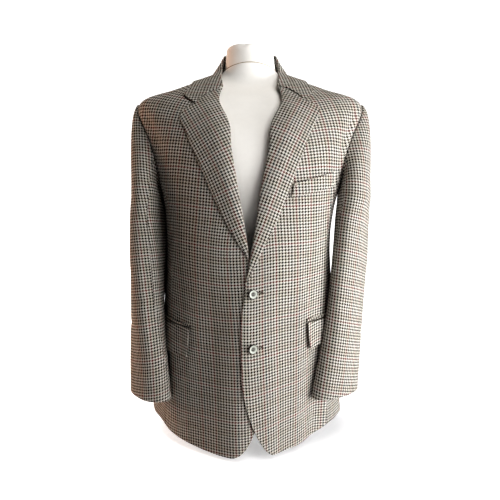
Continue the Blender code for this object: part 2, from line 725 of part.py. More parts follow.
def collar_stand():
    """The upright strip inside the fold, from the neckline's seam."""
    halves = []
    turns = np.linspace(math.radians(STAND_START), math.pi, 7)
    neckline = evenly(np.stack([turns, np.full(7, STAND_LEVEL)], -1), COLLAR_ROWS, body)
    for side in SIDES:
        fold = evenly(fold_points(side)[1:], COLLAR_ROWS)
        inward = unit((NECK_AXIS - fold) * np.array([1, 1, 0]))
        high = fold + (inward - UPWARD) * FOLD_GAP
        low = body(mirrored(neckline, side)) + inward * STAND_IN + UPWARD * STAND_UP
        part = np.linspace(0, 1, STAND_COLUMNS + 1)[None, :, None]
        halves.append(low[:, None] * (1 - part) + high[:, None] * part)
    outer = np.concatenate([halves[1], halves[0][-2::-1]])
    return wall("collar_stand", outer, outer - grid_normals(outer) * CLOTH)


# Pockets and buttons


def run_level(start, length, count):
    """Places running round the body at one height from a start, this long in all."""
    turns = np.linspace(0, 1.4, 60) * np.sign(start[0])
    path = np.stack([start[0] + turns, np.full(60, start[1])], -1)
    run = run_of(body(path))
    return np.stack([np.interp(np.linspace(0, length, count + 1), run, column) for column in path.T], -1)


def flap(side):
    top_mark, deep, long = FLAPS[side]
    low_mark = Mark(top_mark.height - deep, top_mark.across + FLAP_SLANT)
    top, low = (run_level(marked(side, [mark])[0], long, FLAP_COLUMNS) for mark in (top_mark, low_mark))
    ends = [np.linspace(low[at], top[at], FLAP_ROWS + 1) for at in (0, -1)]
    over = lap(top[None]) if side == "left" else 0.0
    up = np.linspace(0, 1, FLAP_ROWS + 1)[:, None]
    laid("flap_" + side, patch(low, top, *ends), over + FLAP_LIE + CLOTH + FLAP_SWING * (1 - up))
    jet_low = top + np.array([0, JET_GAP / LEVEL_RISE])
    jet_high = jet_low + np.array([0, JET / LEVEL_RISE])
    ends = [np.stack([jet_low[at], jet_high[at]]) for at in (0, -1)]
    laid("jet_" + side, patch(jet_low, jet_high, *ends), over + FLAP_LIE + CLOTH)


def welt():
    low, high = (evenly(marked("left", marks), WELT_COLUMNS, body) for marks in (WELT_LOW, WELT_HIGH))
    places = patch(low, high, np.array([low[0], high[0]]), np.array([low[-1], high[-1]]))
    return laid("breast_welt", places, WELT_LIE + CLOTH)


def add_cutter(name, radius, location, rotation):
    bpy.ops.mesh.primitive_cylinder_add(
        vertices=12, radius=radius, depth=0.02, location=location, rotation=rotation
    )
    cutter = bpy.context.object
    cutter.name = name
    cutter.hide_render = True
    cutter.display_type = "WIRE"
    return cutter


def button(name, height):
    """A turned button with a raised rim and a dished middle, on a short shank of thread."""
    place = locate(CENTRE_LINE, height)
    seat = lifted(place, lap(place) + LIE * 0.6)
    normal = outward(place)
    profile = (
        (0.0, 0.0),
        (SHANK_RADIUS, 0.0),
        (SHANK_RADIUS, SHANK_HEIGHT),
        (BUTTON_RADIUS * 0.86, SHANK_HEIGHT),
        (BUTTON_RADIUS, SHANK_HEIGHT + BUTTON_THICK * 0.4),
        (BUTTON_RADIUS * 0.97, SHANK_HEIGHT + BUTTON_THICK * 0.85),
        (BUTTON_RADIUS - BUTTON_RIM * 0.5, SHANK_HEIGHT + BUTTON_THICK),
        (BUTTON_RADIUS - BUTTON_RIM, SHANK_HEIGHT + BUTTON_THICK * 0.95),
        (BUTTON_RADIUS - BUTTON_RIM * 1.5, SHANK_HEIGHT + BUTTON_THICK - BUTTON_DISH),
        (0.0, SHANK_HEIGHT + BUTTON_THICK - BUTTON_DISH),
    )
    turned = lathe("button_" + name, profile, 24, "horn")
    upright = math.atan2(math.hypot(normal[0], normal[1]), normal[2])
    heading = math.atan2(normal[1], normal[0])
    turned.location = seat
    turned.rotation_euler = (0, upright, heading)
    bpy.context.view_layer.update()
    for row in (-1, 1):
        for column in (-1, 1):
            spot = turned.matrix_world @ Vector((row * HOLE_SPACING, column * HOLE_SPACING, 0))
            cutter = add_cutter("hole", BUTTON_HOLE, spot, turned.rotation_euler)
            drill = turned.modifiers.new("hole", "BOOLEAN")
            drill.operation = "DIFFERENCE"
            drill.object = cutter
    return turned


def lathe(name, profile, sides, finish):
    """A closed turned solid from a profile of (radius, height) that starts and ends on the axis."""
    points, rings = [], []
    for radius, height in profile:
        turns = [0.0] if radius == 0 else np.arange(sides) * 2 * math.pi / sides
        rings.append(range(len(points), len(points) + len(turns)))
        points += [(radius * math.cos(turn), radius * math.sin(turn), height) for turn in turns]
    faces = []
    for low, high in zip(rings, rings[1:]):
        for step in range(sides):
            here, there = [[ends[at % len(ends)] for ends in (low, high)] for at in (step, step + 1)]
            faces.append(list(dict.fromkeys([here[0], there[0], there[1], here[1]])))
    return add_object(name, points, faces, finish)


# The dress form


def form_solid(name, table, rings):
    """A closed solid through a table's sections, flat at both ends."""
    turns = np.linspace(-math.pi, math.pi, FORM_TURNS + 1)[:-1]
    levels = np.linspace(0, len(table) - 1, rings)
    points = ring(table, turns[None, :], levels[:, None])
    faces = []
    for row in range(rings - 1):
        for column in range(FORM_TURNS):
            here, there = row * FORM_TURNS + column, row * FORM_TURNS + (column + 1) % FORM_TURNS
            faces.append((here, there, there + FORM_TURNS, here + FORM_TURNS))
    count = rings * FORM_TURNS
    ends = [points[0].mean(axis=0), points[-1].mean(axis=0)]
    for column in range(FORM_TURNS):
        after = (column + 1) % FORM_TURNS
        faces.append((count, after, column))
        faces.append((count + 1, count - FORM_TURNS + column, count - FORM_TURNS + after))
    return add_object(name, np.vstack([points.reshape(-1, 3), ends]), faces, "form")


def centre_all():
    """Moves everything so that the part's box is centred on the origin in X and Y."""
    bpy.context.view_layer.update()
    shown = [made for made in bpy.data.objects if not made.hide_render]
    corners = np.array([made.matrix_world @ vertex.co for made in shown for vertex in made.data.vertices])
    middle = (corners.min(axis=0) + corners.max(axis=0)) / 2
    for made in bpy.data.objects:
        made.location.x -= middle[0]
        made.location.y -= middle[1]


def main():
    for old in list(bpy.data.objects):
        bpy.data.objects.remove(old, do_unlink=True)
    for side in SIDES:
        front(side)
        side_body(side)
        back(side)
        sleeve(side)
        lapel(side)
        flap(side)
    collar()
    collar_stand()
    welt()
    for name, height in BUTTON_HEIGHTS.items():
        button(name, height)
    form_solid("form_torso", FORM, FORM_RINGS)
    form_solid("form_neck", CAP, CAP_RINGS)
    centre_all()


main()
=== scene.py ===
"""A checked tweed hacking jacket, buttoned on a limbless dress form, in metres: +Z up, the front towards
-Y, and the wearer's left towards +X.

Each cut piece is a double layer of cloth laid on one imagined surface, the outside of the closed jacket. A
place on it is a turn, the angle from the centre front towards the wearer's left, and a level, the place in
the table of sections, hem 0 to neck 9.
"""

import math
from collections import namedtuple

import bmesh
import bpy
import numpy as np
from mathutils import Matrix, Vector, kdtree


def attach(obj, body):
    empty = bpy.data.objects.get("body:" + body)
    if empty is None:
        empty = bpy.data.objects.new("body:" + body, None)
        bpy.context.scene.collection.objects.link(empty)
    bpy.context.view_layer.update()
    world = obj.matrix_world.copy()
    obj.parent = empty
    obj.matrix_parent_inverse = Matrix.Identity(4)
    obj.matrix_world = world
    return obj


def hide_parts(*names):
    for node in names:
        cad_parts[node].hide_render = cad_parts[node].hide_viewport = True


bl_info = {
    "name": "Tweed Jacket on a Dress Form",
    "version": (1, 0, 0),
    "blender": (4, 5, 0),
    "location": "View3D > Sidebar > Jacket",
    "description": "Builds a checked tweed hacking jacket worn on a limbless dress form",
    "category": "Add Mesh",
}

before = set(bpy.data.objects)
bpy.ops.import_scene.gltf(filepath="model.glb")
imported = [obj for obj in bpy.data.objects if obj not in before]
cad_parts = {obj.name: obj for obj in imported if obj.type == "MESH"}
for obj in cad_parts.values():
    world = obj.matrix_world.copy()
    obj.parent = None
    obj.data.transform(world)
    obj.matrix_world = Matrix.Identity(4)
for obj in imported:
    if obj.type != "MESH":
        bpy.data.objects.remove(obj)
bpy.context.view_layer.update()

# Where the middle of the part's box lies from the middle the tables are drawn about
CENTRING = np.array([0.000083, 0.011206, 0.0])

# The outside of the closed jacket. A section dips from its side towards the front and the back. Reach is how
# far it stands out from its middle line, drift moves it sideways, corner squares it off, skew squares off
# its left more than its right, and pinch draws in its right side.
Section = namedtuple(
    "Section",
    "front_z side_z back_z half_width front back middle drift corner skew pinch",
    defaults=(0.0, 0.0),
)
JACKET = (
    Section(0.007, 0.030, 0.020, 0.234, 0.209, 0.112, 0.040, -0.010, -0.06, -0.04, -0.07),
    Section(0.160, 0.160, 0.160, 0.212, 0.202, 0.120, 0.034, -0.004, -0.03, -0.01),
    Section(0.300, 0.300, 0.300, 0.199, 0.196, 0.108, 0.028, -0.003, 0.00),
    Section(0.430, 0.430, 0.430, 0.190, 0.186, 0.098, 0.020, -0.002, 0.01),
    Section(0.515, 0.515, 0.515, 0.194, 0.174, 0.110, 0.015, 0.000, 0.01),
    Section(0.595, 0.595, 0.595, 0.212, 0.162, 0.122, 0.012, 0.000, 0.01),
    Section(0.670, 0.675, 0.675, 0.236, 0.146, 0.124, 0.010, 0.000, 0.01),
    Section(0.728, 0.756, 0.750, 0.250, 0.112, 0.112, 0.010, 0.000, 0.02),
    Section(0.768, 0.791, 0.800, 0.166, 0.082, 0.090, 0.014, 0.000, 0.02),
    Section(0.802, 0.823, 0.836, 0.078, 0.052, 0.068, 0.020, 0.000, 0.00),
)
SHOULDER, NECK = 7, 9
PINCH_PEAK = 3.5

# The dress form inside it, in the same columns
TORSO = (
    Section(0.000, 0.000, 0.000, 0.150, 0.080, 0.085, 0.030, 0.0, 0.00),
    Section(0.018, 0.018, 0.018, 0.166, 0.104, 0.096, 0.030, 0.0, 0.00),
    Section(0.070, 0.070, 0.070, 0.178, 0.142, 0.102, 0.028, 0.0, 0.00),
    Section(0.160, 0.160, 0.160, 0.184, 0.162, 0.104, 0.026, 0.0, 0.00),
    Section(0.400, 0.400, 0.400, 0.160, 0.134, 0.078, 0.016, 0.0, 0.00),
    Section(0.510, 0.510, 0.510, 0.172, 0.142, 0.094, 0.012, 0.0, 0.00),
    Section(0.600, 0.600, 0.600, 0.188, 0.145, 0.108, 0.010, 0.0, 0.00),
    Section(0.670, 0.675, 0.675, 0.201, 0.131, 0.110, 0.010, 0.0, 0.01),
    Section(0.7230, 0.7530, 0.7450, 0.2090, 0.1020, 0.1010, 0.010, 0.0, 0.04),
    Section(0.7630, 0.7876, 0.7957, 0.1610, 0.0765, 0.0845, 0.014, 0.0, 0.02),
    Section(0.7965, 0.8125, 0.8240, 0.0850, 0.0500, 0.0610, 0.022, 0.0, 0.00),
    Section(0.842, 0.832, 0.846, 0.0600, 0.0560, 0.0500, 0.032, 0.0, 0.00),
)
CAP = (
    Section(0.8424, 0.8324, 0.8464, 0.0597, 0.0557, 0.0497, 0.032, 0.0, 0.00),
    Section(0.860, 0.857, 0.862, 0.0558, 0.0505, 0.0465, 0.034, 0.0, 0.00),
    Section(0.882, 0.881, 0.882, 0.0535, 0.0470, 0.0440, 0.036, 0.0, 0.00),
    Section(0.888, 0.887, 0.888, 0.0500, 0.0435, 0.0405, 0.036, 0.0, 0.00),
)
FORM_TURNS, TORSO_RINGS, CAP_RINGS = 96, 84, 18
FORM_ROUNDING = 0.0016
FORM_CORD = 0.0009
FORM_SEAM_LEVEL = 0.0
CAP_LEAN = 0.007

# A mark on the front: its height and its distance from the middle towards its own side
Mark = namedtuple("Mark", "height across")
CENTRE_LINE = 0.0055
OVERLAP = 0.0227
LAP_LIFT = 0.0040
CUT_HEIGHT, CUT_WIDTH = 0.1825, 0.0676
CUT_POWER = {"left": 1.6, "right": 2.0}
HEM_FRONT = 0.0075

# The roll is the fold between front and lapel, from the break up to the neck
Lapel = namedtuple("Lapel", "roll edge gorge collar")
LAPELS = {
    "left": Lapel(
        roll=(
            Mark(0.377, -0.0085),
            Mark(0.413, -0.0040),
            Mark(0.469, 0.0060),
            Mark(0.560, 0.0190),
            Mark(0.641, 0.0350),
            Mark(0.712, 0.0475),
            Mark(0.782, 0.0595),
        ),
        edge=(
            Mark(0.377, -0.0085),
            Mark(0.398, 0.0020),
            Mark(0.432, 0.0190),
            Mark(0.485, 0.0460),
            Mark(0.550, 0.0745),
            Mark(0.643, 0.1080),
            Mark(0.700, 0.1340),
            Mark(0.731, 0.1443),
        ),
        gorge=(Mark(0.782, 0.0595), Mark(0.775, 0.0830), Mark(0.751, 0.1117)),
        collar=(Mark(0.7735, 0.1357), Mark(0.7940, 0.1260)),
    ),
    "right": Lapel(
        roll=(
            Mark(0.428, 0.0032),
            Mark(0.447, 0.0030),
            Mark(0.479, 0.0080),
            Mark(0.550, 0.0203),
            Mark(0.641, 0.0356),
            Mark(0.712, 0.0465),
            Mark(0.780, 0.0595),
        ),
        edge=(
            Mark(0.428, 0.0032),
            Mark(0.440, 0.0130),
            Mark(0.478, 0.0370),
            Mark(0.540, 0.0686),
            Mark(0.632, 0.1095),
            Mark(0.690, 0.1350),
            Mark(0.7147, 0.1466),
        ),
        gorge=(Mark(0.780, 0.0595), Mark(0.770, 0.0820), Mark(0.743, 0.1133)),
        collar=(Mark(0.7628, 0.1401), Mark(0.7890, 0.1285)),
    ),
}
ROLL_SPRING = 0.0045

# Seams, by turn in degrees at the hem, the waist and the armhole
Seam = namedtuple("Seam", "hem waist armhole")
FRONT_SEAM = Seam(60.0, 62.0, 69.5)
BACK_SEAM = Seam(108.0, 112.0, 112.0)
VENT_HEIGHT, VENT_FLARE = 0.235, 0.006
ARMHOLE_TOP, ARMHOLE_BOTTOM = 0.756, 0.566
ARMHOLE_FRONT, ARMHOLE_BACK, ARMHOLE_SKEW = 22.0, 24.0, 0.25
SEAM, LIE = 0.0004, 0.0007

# Sleeves: the centre of each section, its half length from front to back, half breadth, how far its front
# edge is turned in, and its squareness, where 2 is an ellipse
SleeveSection = namedtuple("SleeveSection", "z across y long broad turn power")
SLEEVES = {
    "left": (
        SleeveSection(0.550, 0.2370, -0.002, 0.076, 0.0385, 14.0, 2.2),
        SleeveSection(0.500, 0.2345, -0.008, 0.074, 0.0355, 22.0, 2.1),
        SleeveSection(0.400, 0.2270, -0.030, 0.071, 0.0320, 32.0, 2.1),
        SleeveSection(0.300, 0.2155, -0.050, 0.067, 0.0325, 36.0, 2.1),
        SleeveSection(0.210, 0.2020, -0.066, 0.065, 0.0345, 44.0, 2.2),
        SleeveSection(0.115, 0.1870, -0.078, 0.066, 0.0360, 54.0, 2.4),
    ),
    "right": (
        SleeveSection(0.550, 0.2330, -0.002, 0.074, 0.0345, 0.0, 2.2),
        SleeveSection(0.500, 0.2340, -0.008, 0.071, 0.0345, -3.0, 2.2),
        SleeveSection(0.400, 0.2345, -0.024, 0.069, 0.0365, 4.0, 2.3),
        SleeveSection(0.300, 0.2345, -0.040, 0.067, 0.0370, 14.0, 2.2),
        SleeveSection(0.200, 0.2315, -0.052, 0.066, 0.0370, 30.0, 2.2),
        SleeveSection(0.103, 0.2265, -0.060, 0.065, 0.0370, 43.0, 2.1),
    ),
}
SLEEVE_CLEAR, SLEEVE_GAP = 0.0048, 0.0011
CAP_REACH = {"left": 0.085, "right": 0.070}
CAP_DROP = 0.170
UNDER_SLEEVE = (112.0, 262.0)

# The collar's fold line round the neck, for the wearer's left: each point is level with the last or higher
Point = namedtuple("Point", "across y z")
FOLD = (
    Point(0.0640, -0.022, 0.8060),
    Point(0.0670, 0.008, 0.8330),
    Point(0.0660, 0.032, 0.8570),
    Point(0.0590, 0.060, 0.8775),
    Point(0.0350, 0.088, 0.8810),
    Point(0.0000, 0.098, 0.8810),
)
Crossing = namedtuple("Crossing", "turn level")
COLLAR_EDGE = (Crossing(90, 8.56), Crossing(115, 8.48), Crossing(145, 8.44), Crossing(180, 8.42))
STAND_START, STAND_LEVEL = 80.0, 9.02
STAND_IN, STAND_UP = 0.0022, 0.0012
COLLAR_DIP, COLLAR_LIE, GORGE_GAP = 0.0035, 0.0014, 0.0018

# Pockets, as marks for the front top corner, and lengths along the cloth
Flap = namedtuple("Flap", "top deep long")
FLAPS = {
    "left": Flap(Mark(0.286, 0.1180), 0.056, 0.150),
    "right": Flap(Mark(0.2745, 0.1250), 0.063, 0.150),
}
FLAP_LIE, WELT_LIE, FLAP_SWING, FLAP_CURL, FLAP_SLANT = 0.0011, 0.0013, 0.0036, 0.0030, 0.004
# JET_SHADOW_STITCH is the length of each dark stitch in the painted shadow line under a jet
JET, JET_GAP, JET_SHADOW_STITCH = 0.005, 0.0026, 0.0042
LEVEL_RISE = 0.130
WELT_LOW = (Mark(0.5470, 0.0815), Mark(0.5720, 0.1785))
WELT_HIGH = (Mark(0.5765, 0.0880), Mark(0.6035, 0.1785))

# Buttons on the centre line
BUTTON_HEIGHTS = {"upper": 0.3574, "lower": 0.2457}
SHANK_HEIGHT = 0.0030
BUTTON_TURN = math.radians(24)
# Each step of a button's face, from the edge in: how wide it is and how far it falls
BUTTON_STEPS = ((0.0010, 0.0), (0.0030, -0.0004), (0.0006, -0.0008), (0.0012, -0.0001))

# Rows and columns of the pieces
SEAM_ROWS, ARMHOLE_ROWS = 104, 48
CORNER_ROWS, EDGE_ROWS, ROLL_ROWS, NECK_ROWS = 24, 32, 84, 12
CORNER_COLUMNS, FRONT_COLUMNS = 24, 60
SIDE_COLUMNS, BACK_COLUMNS, NECK_COLUMNS = 24, 56, 20
LAPEL_COLUMNS, GORGE_COLUMNS, WRAP_COLUMNS = 24, 16, 8
COLLAR_ROWS, STAND_COLUMNS = 60, 6
FLAP_ROWS, FLAP_COLUMNS, WELT_COLUMNS, WELT_ROWS, JET_ROWS = 14, 36, 24, 8, 3
CAP_ROWS, ARM_ROWS, SCYE_COLUMNS, UNDERARM_COLUMNS = 28, 84, 36, 18
RIM_STEPS = 3

# Soft ridges, and troughs where the depth is less than zero: a path, a width and a depth. Those of the body
# are drawn by turn in degrees and level, those of the sleeves by points for the wearer's left or right.
Crease = namedtuple("Crease", "path width depth")
BODY_CREASES = (
    # the fronts stand out to a ridge at the closing, flatter beside it
    Crease(((-5, -0.6), (-4, 0.6), (-4, 1.8), (-2, 3.1)), 0.034, 0.0085),
    Crease(((21, -0.6), (22, 1.0), (23, 2.7)), 0.030, -0.0040),
    Crease(((-25, -0.6), (-25, 1.0), (-24, 2.7)), 0.030, -0.0040),
    # drag lines from the upper button
    Crease(((-1, 2.42), (9, 2.52), (20, 2.78)), 0.007, -0.0012),
    Crease(((2, 2.38), (12, 2.32), (24, 2.40)), 0.008, -0.0011),
    Crease(((0, 2.50), (-10, 2.70), (-19, 3.00)), 0.009, -0.0014),
    Crease(((2, 1.62), (10, 1.57), (21, 1.62)), 0.008, -0.0010),
    Crease(((-2, 2.44), (-12, 2.36), (-22, 2.42)), 0.007, -0.0009),
    # front darts, each a fine trough with the cloth full on both sides of it
    Crease(((41.5, 3.55), (38.5, 2.8), (37.5, 2.05)), 0.0022, -0.0011),
    Crease(((-42, 3.6), (-39, 2.9), (-37.5, 2.15)), 0.0022, -0.0011),
    # fullness of the chest and of the skirt
    Crease(((30, 6.3), (27, 5.4), (25, 4.6)), 0.030, 0.0018),
    Crease(((-33, 6.4), (-30, 5.6), (-26, 4.9)), 0.028, 0.0016),
    Crease(((24, 1.6), (27, 0.8), (31, -0.6)), 0.026, 0.0022),
    Crease(((46, 1.9), (47, 1.0), (44, -0.6)), 0.022, -0.0024),
    Crease(((-30, 1.7), (-33, 0.7), (-35, -0.6)), 0.024, -0.0020),
    Crease(((-50, 2.2), (-52, 1.1), (-55, -0.6)), 0.026, 0.0024),
    # breaks in front of the armholes
    Crease(((66, 6.9), (60, 6.2), (57, 5.5)), 0.011, -0.0030),
    Crease(((-67, 7.0), (-60, 6.3), (-56, 5.4)), 0.012, -0.0034),
    Crease(((55, 6.9), (51, 6.3), (50, 5.8)), 0.012, 0.0013),
    # sides
    Crease(((84, 4.6), (80, 3.6), (83, 2.7)), 0.016, -0.0022),
    Crease(((-86, 4.6), (-88, 3.2), (-92, 1.3)), 0.028, 0.0046),
    Crease(((78, 1.9), (82, 0.9), (80, -0.6)), 0.020, 0.0020),
    Crease(((-80, 1.8), (-77, 0.8), (-81, -0.6)), 0.019, 0.0022),
    # back: drape behind the arms, the hollow of the waist and the skirt
    Crease(((118, 6.6), (126, 5.7), (129, 4.7)), 0.016, -0.0032),
    Crease(((-117, 6.7), (-124, 5.9), (-130, 5.0)), 0.015, -0.0035),
    Crease(((131, 6.4), (137, 5.3), (137, 4.4)), 0.017, 0.0018),
    Crease(((-130, 6.5), (-138, 5.5), (-140, 4.7)), 0.018, 0.0020),
    Crease(((150, 3.7), (163, 3.45), (178, 3.55)), 0.012, -0.0016),
    Crease(((-146, 3.5), (-160, 3.25), (-176, 3.35)), 0.013, -0.0018),
    Crease(((127, 3.2), (131, 1.9), (128, -0.6)), 0.026, 0.0026),
    Crease(((-129, 3.0), (-133, 1.7), (-130, -0.6)), 0.024, 0.0028),
    Crease(((150, 2.6), (153, 1.3), (151, -0.6)), 0.024, -0.0020),
    Crease(((-154, 2.7), (-150, 1.4), (-155, -0.6)), 0.027, -0.0022),
)
SLEEVE_CREASES = {
    "left": (
        Crease(((0.230, -0.090, 0.640), (0.208, -0.096, 0.520), (0.192, -0.105, 0.400)), 0.010, -0.0026),
        Crease(((0.192, -0.108, 0.430), (0.178, -0.118, 0.320), (0.168, -0.124, 0.200)), 0.011, -0.0022),
        Crease(((0.262, -0.060, 0.610), (0.252, -0.066, 0.470), (0.236, -0.078, 0.340)), 0.016, 0.0024),
        Crease(((0.205, -0.100, 0.372), (0.228, -0.090, 0.356), (0.250, -0.066, 0.352)), 0.007, -0.0018),
        Crease(((0.190, -0.110, 0.330), (0.214, -0.104, 0.308), (0.238, -0.088, 0.300)), 0.008, -0.0020),
        Crease(((0.245, -0.080, 0.405), (0.262, -0.050, 0.396), (0.264, -0.010, 0.412)), 0.008, -0.0016),
        Crease(((0.240, -0.090, 0.255), (0.256, -0.060, 0.240), (0.262, -0.020, 0.246)), 0.009, -0.0014),
        Crease(((0.275, -0.010, 0.600), (0.272, -0.006, 0.480), (0.262, -0.012, 0.360)), 0.020, 0.0020),
        Crease(((0.255, 0.060, 0.560), (0.262, 0.045, 0.440), (0.256, 0.020, 0.330)), 0.014, -0.0028),
        Crease(((0.250, 0.030, 0.330), (0.236, 0.034, 0.300), (0.215, 0.020, 0.285)), 0.009, -0.0026),
        Crease(((0.262, 0.010, 0.385), (0.240, 0.046, 0.370), (0.212, 0.050, 0.366)), 0.009, -0.0022),
        Crease(((0.190, -0.118, 0.200), (0.212, -0.112, 0.150), (0.222, -0.104, 0.090)), 0.014, 0.0016),
        Crease(((0.212, 0.030, 0.540), (0.205, 0.020, 0.420), (0.196, 0.000, 0.300)), 0.026, 0.0080),
    ),
    "right": (
        Crease(((0.236, -0.084, 0.650), (0.226, -0.082, 0.540), (0.224, -0.092, 0.420)), 0.010, -0.0028),
        Crease(((0.226, -0.092, 0.450), (0.216, -0.104, 0.330), (0.200, -0.112, 0.200)), 0.010, -0.0024),
        Crease(((0.262, -0.060, 0.620), (0.262, -0.062, 0.480), (0.260, -0.076, 0.350)), 0.015, 0.0022),
        Crease(((0.206, -0.090, 0.390), (0.232, -0.092, 0.374), (0.260, -0.066, 0.376)), 0.007, -0.0018),
        Crease(((0.204, -0.102, 0.345), (0.230, -0.106, 0.330), (0.262, -0.080, 0.318)), 0.008, -0.0022),
        Crease(((0.250, -0.085, 0.275), (0.268, -0.060, 0.262), (0.276, -0.020, 0.268)), 0.009, -0.0016),
        Crease(((0.270, -0.020, 0.600), (0.272, -0.012, 0.480), (0.272, -0.014, 0.350)), 0.020, 0.0018),
        Crease(((0.250, 0.064, 0.570), (0.258, 0.050, 0.450), (0.262, 0.020, 0.340)), 0.014, -0.0026),
        Crease(((0.262, 0.020, 0.352), (0.248, 0.036, 0.330), (0.222, 0.030, 0.318)), 0.009, -0.0024),
        Crease(((0.266, 0.000, 0.300), (0.262, 0.020, 0.284), (0.240, 0.026, 0.276)), 0.008, -0.0016),
        Crease(((0.210, -0.112, 0.190), (0.226, -0.112, 0.140), (0.240, -0.104, 0.080)), 0.014, 0.0016),
        Crease(((0.214, 0.034, 0.560), (0.210, 0.020, 0.390), (0.204, -0.016, 0.190)), 0.030, 0.0190),
    ),
}
CAP_CREASE = (Crease(((-0.040, -0.006, 0.8865), (-0.020, -0.010, 0.8830), (-0.002, -0.010, 0.8865)), 0.0035, -0.0030),)

PRESS_TURNS, PRESS_LEVELS = (0, 15, 30, 45, 60, 75), (0, 1.5, 3, 4.5, 6, 7.5, 9)
PRESSED = {
    "left": (
        ((-31, -5), (-27, -20), (-23, -35), (-25, -41), (-42, -28), (-76, -16)),
        ((-11, -7), (-10, -17), (-12, -24), (-12, -38), (-35, -35), (-73, -26)),
        ((0, 0), (6, -11), (1, -16), (-5, -22), (-23, -30), (-56, -34)),
        ((24, 2), (22, -8), (17, -15), (9, -22), (-5, -29), (-34, -35)),
        ((46, 5), (42, -4), (36, -16), (26, -26), (16, -26), (-7, -33)),
        ((66, 8), (56, -1), (45, -9), (39, -16), (32, -23), (21, -31)),
        ((83, 11), (71, 4), (60, -3), (54, -10), (50, -19), (48, -28)),
    ),
    "right": (
        ((39, -38), (39, -43), (40, -47), (41, -48), (50, -53), (63, -57)),
        ((16, -19), (17, -22), (22, -29), (19, -42), (32, -52), (43, -53)),
        ((0, 0), (0, -5), (-5, -18), (2, -31), (15, -43), (20, -51)),
        ((-29, 14), (-36, -3), (-36, -18), (-27, -33), (-16, -44), (-9, -53)),
        ((-62, 20), (-66, -2), (-68, -24), (-63, -40), (-55, -50), (-44, -59)),
        ((-93, 22), (-93, -1), (-90, -23), (-87, -40), (-85, -55), (-80, -68)),
        ((-124, 23), (-119, 1), (-115, -21), (-114, -40), (-115, -59), (-116, -78)),
    ),
}

# How the check leans and bows along each sleeve
SLEEVE_GRAIN = {"left": (0.10, 0.0), "right": (0.055, 0.43)}

# The order of the coloured yarns in the check, by name, in the warp and in the weft
WARP = "black olive brown black olive red blue brown black olive red green".split()
WEFT = "black brown black black olive black brown black black red black brown".split()

SIDES = {"left": 1, "right": -1}
# The horns of a button, by their colours' names: one horn in three tones, the pale ring in the horn's own colour, the
# grey dish and the dark edge, step walls and holes darkened as painted shade
HORNS = {"Pale horn": "horn_pale", "Grey horn": "horn", "Dark horn": "horn_painted_shade"}
UPWARD = np.array([0, 0, 1])
NECK_AXIS = np.array([0, 0.03, 0.75])


# What a user would change


def length(name, description, default, most=1.0):
    return bpy.props.FloatProperty(
        name=name, description=description, default=default, min=0, max=most,
        precision=5, subtype="DISTANCE", unit="LENGTH",
    )


def colour(name, description, default):
    return bpy.props.FloatVectorProperty(
        name=name, description=description, default=default, min=0, max=1, size=3, subtype="COLOR"
    )


def share(name, description, default, most=1.0):
    return bpy.props.FloatProperty(
        name=name, description=description, default=default, min=0, max=most, subtype="FACTOR"
    )


class JacketSizes(bpy.types.PropertyGroup):
    """Sizes of the jacket and of the dress form."""

    cloth: length("Cloth", "Thickness of the made-up cloth", 0.0022)
    edge: length("Edge", "How far a free edge is rolled over", 0.0012)
    seam: length("Seam", "How far an edge is rolled over at a seam", 0.0006)
    creases: share("Creases", "Depth of the creases, as a share of the drawn one", 1.0, 3.0)
    column: length("Column", "Width of one check across the cloth", 0.0064)
    row: length("Row", "Height of one check along the cloth", 0.0064)
    button: length("Button", "Diameter of a front button", 0.0188)
    button_thickness: length("Button thickness", "Thickness of a button at its rim", 0.0034)
    thread: length("Thread", "Thickness of the sewing thread", 0.0006)


class JacketColours(bpy.types.PropertyGroup):
    """Colours of the jacket and of the dress form."""

    cream: colour("Cream yarn", "Pale yarn of the check", (0.64, 0.625, 0.58))
    ecru: colour("Ecru yarn", "The deeper of the pale yarns", (0.57, 0.54, 0.48))
    black: colour("Black yarn", "Darkest yarn of the check", (0.006, 0.004, 0.004))
    brown: colour("Brown yarn", "Brown yarn of the check", (0.040, 0.015, 0.009))
    olive: colour("Olive yarn", "Olive yarn of the check", (0.036, 0.027, 0.011))
    green: colour("Green yarn", "Green yarn of the check", (0.015, 0.028, 0.019))
    red: colour("Red yarn", "Red yarn of the check", (0.115, 0.018, 0.020))
    blue: colour("Blue yarn", "Blue yarn of the check", (0.013, 0.029, 0.040))
    cotton: colour("Cotton", "Cover of the dress form", (0.95, 0.94, 0.91))
    form_seam: colour("Form's seam", "Seam round the dress form's neck", (0.42, 0.34, 0.25))
    # The dish's grey and the dark of the edge and holes are the ring's horn darkened as painted shade
    horn: colour("Horn", "Dish of the buttons", (0.20, 0.21, 0.19))
    horn_pale: colour("Pale horn", "Ring round the dish", (0.46, 0.48, 0.43))
    horn_painted_shade: colour("Dark horn", "Edge and holes of the buttons", (0.030, 0.028, 0.024))
    stitching: colour("Stitching", "Thread of buttonholes and buttons", (0.055, 0.034, 0.024))
    tack: colour("Tack", "Thread of the pocket's bar tacks", (0.74, 0.70, 0.62))


class JacketStage(bpy.types.PropertyGroup):
    """The camera and the studio."""

    height: length("Camera height", "Height of the camera over the floor", 0.553, 5.0)
    distance: length("Camera distance", "Distance of the camera in front of the middle", 1.0888, 5.0)
    pitch: bpy.props.FloatProperty(
        name="Pitch", description="How far the camera looks down", default=math.radians(6.63), subtype="ANGLE"
    )
    lens: bpy.props.FloatProperty(
        name="Lens", description="Focal length of the camera", default=34.06, min=1, unit="CAMERA"
    )
    floor: colour("Floor", "Colour of the floor", (0.80, 0.80, 0.82))


def sizes():
    return bpy.context.scene.jacket_sizes


def colours():
    return bpy.context.scene.jacket_colours


# Tables and curves


